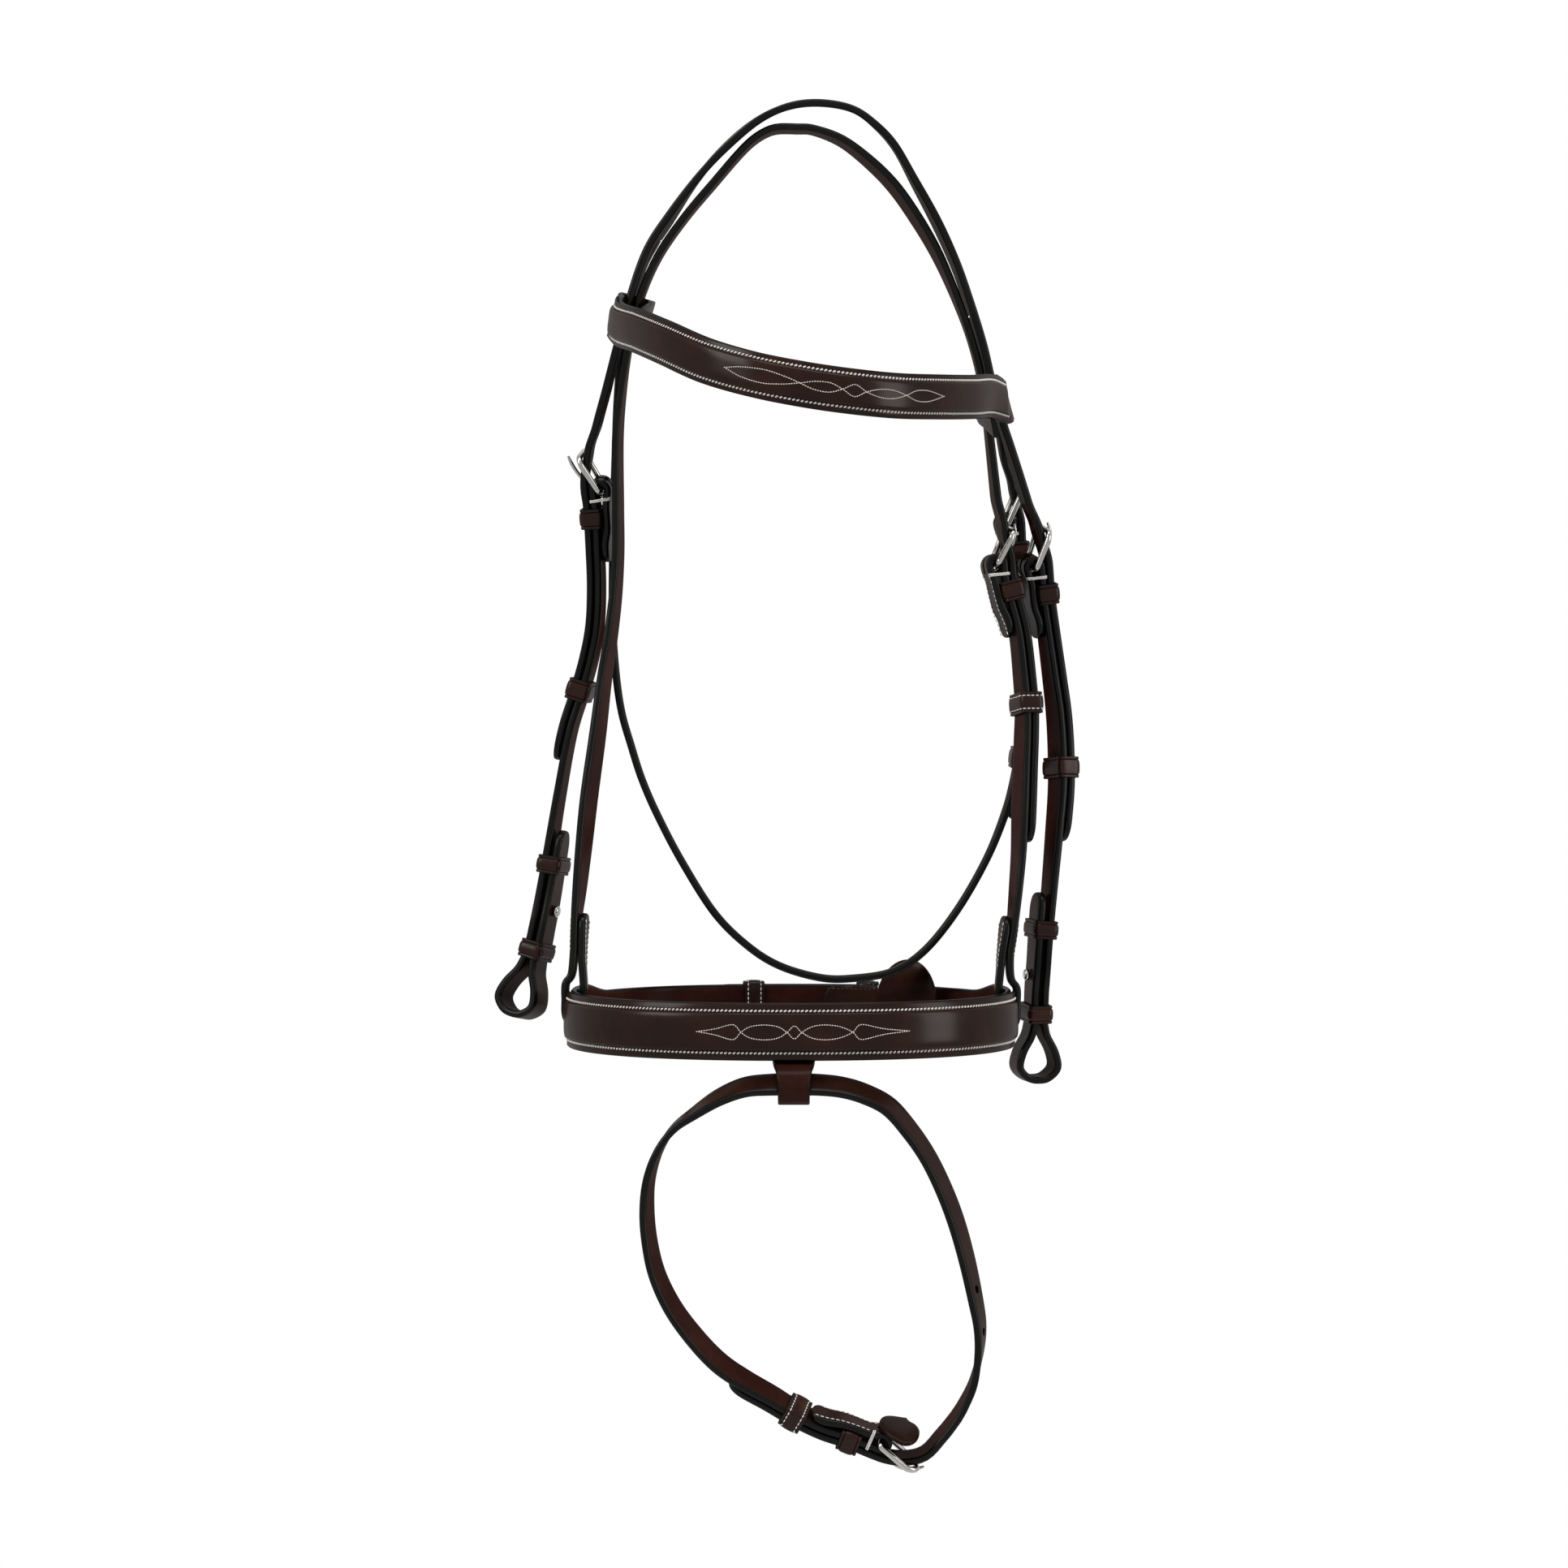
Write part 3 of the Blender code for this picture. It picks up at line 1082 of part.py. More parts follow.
def browband(line, brow_left, brow_right):
    left_places, left_across = brow_loop(line, brow_left, 1)
    right_places, right_across = brow_loop(line, brow_right, -1)
    span = [np.array(row[:3]) * (HALF_WIDTH, DEPTH, DROP) for row in BROWBAND_SHARES]
    places = left_places + span + right_places[::-1]
    across = left_across + [np.array((0, 0, 1.0))] * len(span) + right_across[::-1]
    guide = Guide(places, across)
    start, end = BROW_LOOP_RUN, guide.length - BROW_LOOP_RUN
    for rung in range(1, 5):
        guide.mark(start + rung * BROW_TWIST_STEP, end - rung * BROW_TWIST_STEP)
    guide.mark(start, start + STITCH_MARGIN, end - STITCH_MARGIN, end)
    strap = Strap(guide, BROW_HEIGHT / 2)
    loop = BROW_LOOP_HEIGHT / BROW_HEIGHT
    for along in guide.ladder:
        inside = min(along, guide.length - along) - BROW_LOOP_RUN + BROW_HEIGHT
        share = min(1, max(0, inside / BROW_HEIGHT))
        strap.add(along, 0, loop + (1 - loop) * share)
    strap.make("browband_backing", BROW_THICKNESS)
    face = BROW_THICKNESS / 2 + SLIDE_GAP
    filler("browband_filler", guide, start + STITCH_MARGIN, end - STITCH_MARGIN,
           BROW_HEIGHT / 2 - 2 * STITCH_MARGIN, face + BROW_FILLER / 2, BROW_FILLER)
    raised_cover("browband_front", guide, start, end, BROW_HEIGHT / 2, face + BROW_COVER / 2,
                 BROW_FILLER + GAP, BROW_COVER)



class Layout:
    """Every guide, buckle seat and lead-through of the bridle, before a piece is made."""

    def __init__(self):
        self.line = guide_from_shares(CHEEK_LINE_SHARES)
        line = self.line
        self.left = BuckleSeat(line, line.nearest(2, LEFT_BUCKLE, 0, 0.5), 1, CHEEK_WIDTH,
                               CHEEK_THICKNESS, CHEEK_RUNNER, BILLET_TAIL)
        self.right = BuckleSeat(line, line.nearest(2, RIGHT_BUCKLE, 0.5, 1), -1, CHEEK_WIDTH,
                                CHEEK_THICKNESS, CHEEK_RUNNER, BILLET_TAIL)
        self.bits = (line.nearest(2, LEFT_BIT, 0, 0.5), line.nearest(2, RIGHT_BIT, 0.5, 1))
        self.brows = (line.nearest(2, BROW_LEFT, 0, 0.5), line.nearest(2, BROW_RIGHT, 0.5, 1))
        line.mark(*self.brows)
        self.forks = (self.brows[0] + SLIT_FROM_BROWBAND, self.brows[1] - SLIT_FROM_BROWBAND)
        self.throat = guide_from_shares(THROAT_SHARES, leading=self.beside_crown(1, 1),
                                        trailing=self.beside_crown(0, -1)[::-1])
        self.throat_seat = BuckleSeat(self.throat, self.throat.nearest(2, THROAT_BUCKLE, 0, 0.3),
                                      -1, THROAT_WIDTH, CHEEK_THICKNESS, THROAT_RUNNER,
                                      THROAT_TAIL)
        self.headstall = guide_from_shares(HEADSTALL_SHARES)
        self.headstall.mark(self.headstall.nearest(0, -REST_HALF_LENGTH, 0.3, 0.7),
                            self.headstall.nearest(0, REST_HALF_LENGTH, 0.3, 0.7))
        self.nose_cheek = BuckleSeat(self.headstall, self.headstall.nearest(2, NOSE_BUCKLE, 0.5, 1),
                                     -1, CHEEK_WIDTH, CHEEK_THICKNESS, NOSE_CHEEK_RUNNER,
                                     BILLET_TAIL)
        self.ring = nose_ring()
        self.nose = BuckleSeat(self.ring, self.ring.nearest(0, NOSE_BAR, 0, 0.5), -1, REAR_WIDTH,
                               BAND_THICKNESS, NOSE_RUNNER, NOSE_TAIL)
        self.flash_line = flash_route()
        self.flash = BuckleSeat(self.flash_line, self.flash_line.nearest(0, FLASH_BAR, 0, 0.3), -1,
                                FLASH_WIDTH, FLASH_THICKNESS, FLASH_RUNNER, FLASH_TAIL)

    def beside_crown(self, side, heading):
        """Where the throatlatch leaves the crown: places beside the cheek half of its slit."""
        across = CHEEK_WIDTH / 2 + CROWN_SLIT + THROAT_WIDTH / 2
        return [self.line.place(self.forks[side] + heading * SLIT_FROM_BROWBAND * share, across)
                for share in LEAVING_SHARES]


def turns_about(place, *members):
    """Puts the pieces' own origins on the axis that they turn about."""
    for member in members:
        piece = bpy.data.objects[member]
        shift = Vector(place) - piece.location
        piece.data.transform(Matrix.Translation(-shift))
        piece.location = place


def main():
    global bridle, cutters
    for old in list(bpy.data.objects):
        bpy.data.objects.remove(old)
    bridle = new_collection("flash_noseband_bridle")
    cutters = new_collection("cutters")

    lay = Layout()
    cheekpiece("left", lay.line, lay.left, lay.bits[0], 1)
    cheekpiece("right", lay.line, lay.right, lay.bits[1], -1)
    headpiece(lay.line, lay.left, lay.right, lay.throat, lay.throat_seat, lay.forks)
    noseband_headstall(lay.headstall, lay.nose_cheek)
    noseband_cheekpiece(lay.headstall, lay.nose_cheek)
    browband(lay.line, *lay.brows)
    noseband(lay.ring, lay.nose)
    flash_tab()
    flash_strap(lay.flash_line, lay.flash)
    buckle_set("left_cheek", lay.left)
    buckle_set("right_cheek", lay.right)
    buckle_set("throatlatch", lay.throat_seat)
    buckle_set("noseband_cheek", lay.nose_cheek)
    buckle_set("noseband", lay.nose)
    buckle_set("flash", lay.flash)

    turns_about(sum(lay.line.place(brow) for brow in lay.brows) / 2,
                "browband_backing", "browband_filler", "browband_front")
    turns_about((NOSE_SIDE_OFFSET, 0, nose_level(0) - SLOT_DROP),
                "noseband_strap", "noseband_filler", "noseband_front", "noseband_chin_pad",
                "flash_tab", "noseband_buckle", "noseband_keeper")
    turns_about(tab_axis(), "flash_strap", "flash_chin_pad", "flash_buckle", "flash_keeper")


main()
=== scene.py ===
# %% [markdown]
# # A flash noseband bridle, dressed
#
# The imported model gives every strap, keeper and buckle its place. This lesson dresses it:
# each strap is laid again with rolled edges, a creased grain face, a softer flesh side and
# its stitching, on the same routes, so the joints and clearances of the model still hold.

import json
import math

import bmesh
import bpy
import numpy as np
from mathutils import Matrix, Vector


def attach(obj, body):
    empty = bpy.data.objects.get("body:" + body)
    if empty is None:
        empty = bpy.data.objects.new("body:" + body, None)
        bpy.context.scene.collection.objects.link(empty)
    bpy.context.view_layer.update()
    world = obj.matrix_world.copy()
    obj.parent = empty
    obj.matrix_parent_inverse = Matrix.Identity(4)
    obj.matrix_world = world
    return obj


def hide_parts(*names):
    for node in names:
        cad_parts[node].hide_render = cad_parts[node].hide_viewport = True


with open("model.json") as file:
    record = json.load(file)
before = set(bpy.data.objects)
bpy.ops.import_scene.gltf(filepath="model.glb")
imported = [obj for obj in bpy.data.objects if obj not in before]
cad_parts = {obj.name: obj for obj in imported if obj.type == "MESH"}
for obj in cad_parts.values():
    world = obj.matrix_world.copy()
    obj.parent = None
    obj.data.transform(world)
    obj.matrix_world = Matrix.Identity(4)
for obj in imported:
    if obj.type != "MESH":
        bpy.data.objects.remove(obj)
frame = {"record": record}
for spare in ("Cube", "Light", "Camera"):
    if spare in bpy.data.objects:
        bpy.data.objects.remove(bpy.data.objects[spare])
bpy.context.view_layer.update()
bodies = frame["record"]["behaviour"]["bodies"]
body_of_node = {node: body for body, nodes in bodies.items() for node in nodes}


def linked(name, data):
    """A new object in the scene."""
    made = bpy.data.objects.new(name, data)
    bpy.context.scene.collection.objects.link(made)
    return made


# %% [markdown]
# ## The camera
#
# The bridle hangs in the air and is looked at level, from far enough away for its long
# straps to stay nearly parallel. A long lens on a distant camera does that; a wide lens
# close by would swell the noseband, which stands nearest.

# %% Set the camera
MM = 0.001
CAMERA_DISTANCE = 2200 * MM
CAMERA_RIGHT = -1.6 * MM
CAMERA_HEIGHT = -320.4 * MM
FIELD_WIDTH = 772.8 * MM

eye = linked("camera", bpy.data.cameras.new("camera"))
eye.location = (CAMERA_RIGHT, -CAMERA_DISTANCE, CAMERA_HEIGHT)
eye.rotation_euler = (math.radians(90), 0, 0)
eye.data.lens = eye.data.sensor_width * CAMERA_DISTANCE / FIELD_WIDTH
bpy.context.scene.camera = eye
bpy.context.scene.view_settings.view_transform = "Standard"
print("lens", round(eye.data.lens, 1), "mm")

# %% [markdown]
# ## Sizes
#
# A saddler cuts every strap to a width and a thickness, then stacks them: the billet lies
# on the cheekpiece, the folded end lies under it, and a keeper goes round all three. The
# sizes below are those of the model, so each dressed strap fills the place of its solid.

# %% Name the sizes
# Frame of the whole bridle: the routes below are shares of these three sizes
HALF_WIDTH = 135 * MM
DEPTH = 100 * MM
DROP = 430 * MM

# Leather
CHEEK_WIDTH = 16 * MM
CHEEK_THICKNESS = 3.6 * MM
THROAT_WIDTH = 12 * MM
FLASH_WIDTH = 13 * MM
FLASH_THICKNESS = 3.4 * MM
REAR_WIDTH = 18 * MM
BAND_THICKNESS = 3.2 * MM
COVER_THICKNESS = 1.6 * MM
FILLER_THICKNESS = 1.9 * MM

# Clearances
GAP = 0.3 * MM
BILLET_GAP = 0.5 * MM
SLIDE_GAP = 0.4 * MM
OVERRUN = 2 * MM

# Headpiece
BILLET_TAIL = 138 * MM
THROAT_TAIL = 148 * MM
CROWN_SLIT = 1 * MM
SLIT_FROM_BROWBAND = 42 * MM

# Shares of the slit's distance at which the throatlatch is still held beside the cheek half
LEAVING_SHARES = (0.02, 0.35, 0.7, 1, 1.25)

# Buckles: a wire frame on a heel bar, with a tongue that rests on the far bar
WIRE_RADIUS = 1.5 * MM
BAR_CLEARANCE = 0.45 * MM
FRAME_LENGTH = 17 * MM
FRAME_RISE = 9 * MM
FRAME_SIDE_GAP = 1.1 * MM
FRAME_CORNER = 4 * MM
TONGUE_RADIUS = 0.95 * MM
TONGUE_OVERHANG = 2.5 * MM
TONGUE_SLOT_WIDTH = 3 * MM
TONGUE_EYE_CLEARANCE = 0.25 * MM
CHAPE_LENGTH = 36 * MM

# Keepers
KEEPER_WALL = 1.3 * MM
KEEPER_WIDTH = 10 * MM
RUNNER_WIDTH = 10.5 * MM
KEEPER_FROM_BAR = 9 * MM
KEEPER_ROUND = 1.6 * MM

# The tongue: where it comes up through the billet, as a share of the frame's length
TONGUE_CROSSING_SHARE = 0.36

# The tongue from its tip back to its eye: shares of its reach and of its climb
TONGUE_SHARES = ((1, 0.985), (0.8, 0.99), (0.55, 0.88), (0.36, 0.66), (0.2, 0.43))
TONGUE_EYE_DEGREES = (60, 345)

# Holes in the billets
HOLE_RADIUS = 2 * MM
HOLE_PITCH = 20 * MM
TONGUE_HOLE_LENGTH = 9.6 * MM
TONGUE_HOLE_WIDTH = 3.4 * MM

# Rounded tips: the share of the width that one takes, and of the width at its very end
TIP_SHARE = 0.65
TIP_END_SHARE = 0.25

# Heights of the heel bars, of the bit loops and of the browband's loops
LEFT_BUCKLE = -0.4047 * DROP
RIGHT_BUCKLE = -0.493 * DROP
THROAT_BUCKLE = -0.4419 * DROP
NOSE_BUCKLE = -0.493 * DROP
LEFT_BIT = -1.012 * DROP
RIGHT_BIT = -1.0902 * DROP
BROW_LEFT = -0.207 * DROP
BROW_RIGHT = -0.3023 * DROP

# Runners, from the bar of their buckle
CHEEK_RUNNER = 102 * MM
THROAT_RUNNER = 118 * MM
NOSE_CHEEK_RUNNER = 70 * MM

# Bit ends of the cheekpieces: the keepers' places are shares of the return
BIT_KEEPER_SHARES = (0.735, 0.08)
BIT_STUD_SHARE = 0.39
BIT_LOOP_LENGTH = 28 * MM
BIT_LOOP_SWELL = 7.5 * MM
BIT_RETURN_LENGTH = 66 * MM
BIT_KEEPER_WIDTH = 9 * MM
STUD_BASE_RADIUS = 3.4 * MM
STUD_BASE_THICKNESS = 0.8 * MM
STUD_STEM_RADIUS = 1.4 * MM
STUD_HEAD_RADIUS = 2.9 * MM
STUD_HEAD_HEIGHT = 2.4 * MM
STUD_HEAD_GAP = 0.5 * MM
STUD_CROWN_SHARE = 0.6

# The bit loop from outside to inside: shares of its length, swell and inward step
BIT_LOOP_SHARES = (
    (0, 0, 0), (0.22, 0.2, 0), (0.5, 0.75, 0), (0.78, 0.95, 0), (0.96, 0.35, 0), (1, 0, 0.5),
    (0.96, -0.35, 1), (0.78, -0.95, 1), (0.5, -0.75, 1), (0.22, -0.2, 1), (0, 0, 1),
)

# Hangers that carry the noseband: shares of the loop's height, and of its half depth
HANGER_NECK = 6 * MM
HANGER_DOUBLING = 30 * MM
HANGER_LOOP_SLACK = 0.8 * MM
HANGER_SHARES = (
    (0.75, -1), (0.35, -1), (0.05, -1), (-0.13, -0.75), (-0.2, 0),
    (-0.13, 0.75), (0.05, 1), (0.35, 1), (0.75, 0.96), (1, 0.3),
)

# Browband
BROW_THICKNESS = 2.4 * MM
BROW_FILLER = 1.8 * MM
BROW_COVER = 1.4 * MM
BROW_HEIGHT = 21 * MM
BROW_LOOP_HEIGHT = 18 * MM
BROW_LOOP_SLACK = 1.5 * MM
BROW_REAR_SLACK = 2.2 * MM
BROW_HEADSTALL_GAP = 2.2 * MM
BROW_LOOP_RUN = 121 * MM
BROW_LOOP_BEND = 3.2 * MM
BROW_RETURN = 29 * MM
BROW_RETURN_DROP = 7 * MM
BROW_RETURN_LEAN = 3.6 * MM
BROW_LEAN_SHARE = 0.42
BROW_BEND_DEGREES = 80

# Noseband: an oval whose sides, front and rear keep to the straps that carry it
NOSE_HEIGHT = 27 * MM
NOSE_HALF_WIDTH = 0.789 * HALF_WIDTH
NOSE_SIDE_OFFSET = 0.0133 * HALF_WIDTH
NOSE_FRONT = DEPTH
NOSE_REAR = 0.9 * DEPTH
NOSE_LEVEL = -1.0163 * DROP
NOSE_REAR_LIFT = 5 * MM
NOSE_FLATNESS = 2.3
NOSE_START = math.radians(32)
NOSE_BAR = 54 * MM
NOSE_RUNNER = 72 * MM
NOSE_TAIL = 96 * MM
SLOT_LENGTH = 20.6 * MM
SLOT_HEIGHT = 9.6 * MM
SLOT_DROP = 3.4 * MM
COVER_END = 18 * MM

# Raised oval pads behind the two chin buckles
NOSE_PAD_LENGTH = 40 * MM
NOSE_PAD_HEIGHT = 46 * MM
FLASH_PAD_LENGTH = 31 * MM
FLASH_PAD_HEIGHT = 30 * MM
PAD_THICKNESS = 4 * MM
PAD_AHEAD_SHARE = 0.36

# How square a pad is in section: flat where it is sewn to the strap, domed on the jaw's side
PAD_FLAT = 0.3
PAD_DOME = 0.7

# Flash tab and strap
TAB_WIDTH = 15 * MM
TAB_THICKNESS = 2 * MM
TAB_BORE_RADIUS = 7.5 * MM
TAB_TOP_WIDTH = 20 * MM
TAB_PLACE = 3 * MM
TAB_DROP = 24.8 * MM
TAB_SEAT = 0.3 * MM
TAB_STITCHED = 12 * MM
TAB_TURN_DEGREES = (100, 350)
TAB_TURN_POINTS = 12
FLASH_HALF_WIDTH = 79 * MM
FLASH_DROP = 174 * MM
FLASH_FORWARD = 1 * MM
FLASH_BAR = 43 * MM
FLASH_RUNNER = 42 * MM
FLASH_TAIL = 76 * MM

# A dressed strap: its rows, its creased line and the rim that the line lies in
ROW_STEP = 2.6 * MM
CREASE_FROM_EDGE = 1.7 * MM
RIM_WIDTH = 3 * MM
print("cheek straps", round(CHEEK_WIDTH / MM, 1), "mm wide")

# %% [markdown]
# ## Routes
#
# A route is a list of points that the middle of a strap passes through, as shares of the
# bridle's half width, depth and drop, with the strap's twist in degrees. Leather bends
# only across its face and twists slowly, so a few dozen points are enough.

# %% List the routes

# Left bit end, up the left cheek, over the crown and down the right cheek
CHEEK_LINE_SHARES = (
    (-1.07, 0.33, -1.06, -25), (-1.028, 0.33, -1.019, -24), (-0.947, 0.33, -0.94, -22),
    (-0.924, 0.33, -0.909, -20), (-0.902, 0.34, -0.872, -18), (-0.88, 0.34, -0.83, -15),
    (-0.842, 0.34, -0.757, -11),
    (-0.8, 0.33, -0.687, -9), (-0.757, 0.32, -0.643, -8), (-0.718, 0.3, -0.6, -8),
    (-0.695, 0.28, -0.56, -7), (-0.689, 0.25, -0.514, -7), (-0.694, 0.22, -0.467, -7),
    (-0.702, 0.19, -0.425, -6), (-0.713, 0.17, -0.402, -5), (-0.72, 0.14, -0.376, -4),
    (-0.7, 0.09, -0.338, -3), (-0.659, 0.03, -0.292, -2), (-0.618, -0.03, -0.243, 0),
    (-0.578, -0.06, -0.197, 0), (-0.514, -0.07, -0.139, 0), (-0.431, -0.07, -0.0975, 0),
    (-0.319, -0.07, -0.05, 5), (-0.207, -0.07, -0.013, 8), (-0.096, -0.07, 0.015, 8),
    (0.015, -0.07, 0.03, 8), (0.127, -0.07, 0.033, 8), (0.239, -0.07, 0.026, 8),
    (0.322, -0.07, 0.008, 6), (0.392, -0.07, -0.016, 4), (0.461, -0.07, -0.054, 2),
    (0.545, -0.07, -0.102, 0), (0.614, -0.07, -0.15, 0), (0.666, -0.06, -0.196, 0),
    (0.713, -0.04, -0.243, 0), (0.744, -0.03, -0.284, 0), (0.778, 0, -0.325, -2),
    (0.812, 0.03, -0.358, -4), (0.853, 0.07, -0.398, -6), (0.89, 0.12, -0.435, -8),
    (0.916, 0.16, -0.466, -10), (0.926, 0.19, -0.496, -10), (0.934, 0.22, -0.529, -12),
    (0.952, 0.25, -0.572, -15), (0.975, 0.27, -0.625, -19), (0.991, 0.28, -0.665, -23),
    (0.999, 0.28, -0.708, -25), (0.999, 0.27, -0.751, -25), (0.986, 0.25, -0.801, -22),
    (0.969, 0.23, -0.86, -18), (0.955, 0.22, -0.909, -16), (0.946, 0.24, -0.956, -14),
    (0.94, 0.3, -0.999, -14), (0.936, 0.33, -1.12, -14),
)

# Left side of the noseband, up and over inside the headpiece, down to its right side
HEADSTALL_SHARES = (
    (-0.776, 0, -1.07, 0), (-0.776, 0, -0.977, 0), (-0.776, 0.01, -0.936, -2),
    (-0.771, 0.02, -0.903, -6), (-0.759, 0.03, -0.865, -14), (-0.742, 0.04, -0.811, -20),
    (-0.724, 0.05, -0.758, -22), (-0.694, 0.07, -0.688, -20), (-0.671, 0.09, -0.627, -16),
    (-0.65, 0.09, -0.583, -14), (-0.63, 0.1, -0.53, -12), (-0.62, 0.1, -0.478, -10),
    (-0.62, 0.09, -0.426, -9), (-0.62, 0.06, -0.348, -8), (-0.604, 0.02, -0.293, -4),
    (-0.577, -0.02, -0.242, 0), (-0.537, -0.04, -0.191, 0), (-0.47, -0.04, -0.142, 0),
    (-0.374, -0.04, -0.098, 0), (-0.263, -0.04, -0.0565, 0), (-0.181, -0.04, -0.0265, 0),
    (-0.13, -0.04, -0.0105, 0), (-0.082, -0.04, -0.0005, 0), (-0.036, -0.04, 0.0042, 0),
    (0.036, -0.04, 0.0042, 0), (0.096, -0.04, 0.0028, 0), (0.2, -0.04, -0.01, -4),
    (0.307, -0.04, -0.036, -8), (0.393, -0.04, -0.064, -10), (0.473, -0.04, -0.1, -10),
    (0.54, -0.04, -0.136, -8), (0.597, -0.04, -0.175, -4), (0.655, -0.03, -0.222, 0),
    (0.694, -0.01, -0.262, 0),
    (0.717, 0, -0.297, 0), (0.732, 0.02, -0.33, -2), (0.748, 0.04, -0.373, -4),
    (0.762, 0.06, -0.411, -6), (0.776, 0.08, -0.448, -8), (0.784, 0.1, -0.478, -9),
    (0.787, 0.1, -0.497, -10), (0.794, 0.1, -0.515, -10), (0.81, 0.1, -0.535, -11),
    (0.839, 0.1, -0.573, -13), (0.857, 0.1, -0.626, -16), (0.864, 0.09, -0.66, -18),
    (0.862, 0.08, -0.692, -20), (0.858, 0.07, -0.726, -20), (0.852, 0.05, -0.776, -20),
    (0.846, 0.04, -0.825, -16), (0.834, 0.02, -0.87, -12), (0.82, 0.01, -0.916, -6),
    (0.806, 0, -0.963, 0), (0.802, 0, -1.07, 0),
)

# Down the right side from the fork of the headpiece, under the throat and up the left
THROAT_SHARES = (
    (0.798, 0.31, -0.36, 0), (0.822, 0.36, -0.398, -2), (0.836, 0.4, -0.434, -4),
    (0.843, 0.42, -0.472, -4), (0.851, 0.44, -0.52, -4), (0.864, 0.45, -0.575, -4),
    (0.871, 0.46, -0.64, -4), (0.866, 0.47, -0.7, -4), (0.846, 0.48, -0.742, -4),
    (0.81, 0.48, -0.782, -2), (0.742, 0.48, -0.834, 0), (0.634, 0.49, -0.893, 0),
    (0.514, 0.5, -0.94, 0), (0.393, 0.5, -0.965, 0), (0.242, 0.5, -0.973, 0),
    (0.121, 0.5, -0.972, 0), (-0.03, 0.5, -0.958, 0), (-0.151, 0.5, -0.934, 0),
    (-0.272, 0.5, -0.896, 0), (-0.393, 0.49, -0.836, 0), (-0.483, 0.48, -0.782, 0),
    (-0.541, 0.47, -0.74, 0), (-0.582, 0.47, -0.7, 0), (-0.617, 0.46, -0.661, 0),
    (-0.638, 0.46, -0.616, 0), (-0.65, 0.45, -0.56, 0), (-0.65, 0.44, -0.494, 0),
    (-0.645, 0.42, -0.42, 0), (-0.636, 0.36, -0.35, 0), (-0.626, 0.26, -0.295, 0),
)

# From the right of the flash buckle, under the chin, up the left, over the nose and round:
# across and down from the tab, with a twist
FLASH_SHARES = (
    (0.984, -0.887, -12), (0.875, -0.949, -15), (0.76, -0.989, -15), (0.639, -0.996, -15),
    (0.488, -0.971, -15), (0.335, -0.942, -17), (0.179, -0.917, -21), (0.024, -0.882, -26),
    (-0.13, -0.84, -32), (-0.284, -0.801, -36), (-0.438, -0.754, -38), (-0.578, -0.689, -36),
    (-0.716, -0.605, -32), (-0.812, -0.514, -27), (-0.858, -0.425, -23), (-0.874, -0.339, -20),
    (-0.86, -0.255, -14), (-0.804, -0.178, -6), (-0.715, -0.119, 2), (-0.592, -0.077, 12),
    (-0.448, -0.035, 24), (-0.294, -0.007, 34), (-0.141, 0, 40), (0, 0, 42),
    (0.14, 0, 40), (0.287, -0.007, 38), (0.423, -0.025, 36), (0.565, -0.059, 34),
    (0.687, -0.121, 32), (0.796, -0.193, 30), (0.888, -0.277, 30), (0.965, -0.368, 30),
    (1.03, -0.472, 28), (1.083, -0.583, 24), (1.109, -0.657, 18), (1.102, -0.731, 8),
    (1.064, -0.811, -4), (0.984, -0.887, -12),
)

# The browband's middle stretch, left to right: it bows forward and sags a little
BROWBAND_SHARES = (
    (-0.595, -0.42, -0.228), (-0.52, -0.72, -0.243), (-0.42, -0.99, -0.262),
    (-0.275, -1.22, -0.287), (-0.112, -1.36, -0.305), (0.047, -1.4, -0.316),
    (0.204, -1.38, -0.323), (0.368, -1.27, -0.326), (0.52, -1.06, -0.323),
    (0.64, -0.76, -0.317), (0.715, -0.46, -0.31),
)

print(len(CHEEK_LINE_SHARES), "points from bit to bit")

# %% [markdown]
# ## A guide to lay straps on
#
# A strap is flat, so a line through its middle isn't enough: at each place it also needs
# the direction across it. A guide keeps both and turns them into a small frame of tangent,
# side and face. Every layer of a stack is then "so far along, so far across, so far out"
# of one guide, and layers nest because they share it. Curve objects with a bevel could
# follow the route too, but their twist is hard to hold where three layers lie together.

# %% Follow a route
def smooth_line(places, steps=16):
    """Points of a Catmull-Rom curve through the given rows of numbers."""
    rows = np.array(places, float)
    ends = np.vstack([2 * rows[0] - rows[1], rows, 2 * rows[-1] - rows[-2]])
    found = []
    for before, start, end, after in zip(ends, ends[1:], ends[2:], ends[3:]):
        for share in np.arange(steps) / steps:
            found.append(
                0.5 * (2 * start + (end - before) * share
                       + (2 * before - 5 * start + 4 * end - after) * share**2
                       + (3 * start - before - 3 * end + after) * share**3)
            )
    found.append(rows[-1])
    return np.array(found)


def unit(vector):
    return vector / np.linalg.norm(vector)


def spaced(start, end, step=ROW_STEP):
    """Places from start to end, both included, no further apart than a step."""
    count = max(2, math.ceil(abs(end - start) / step) + 1)
    return [float(place) for place in np.linspace(start, end, count)]


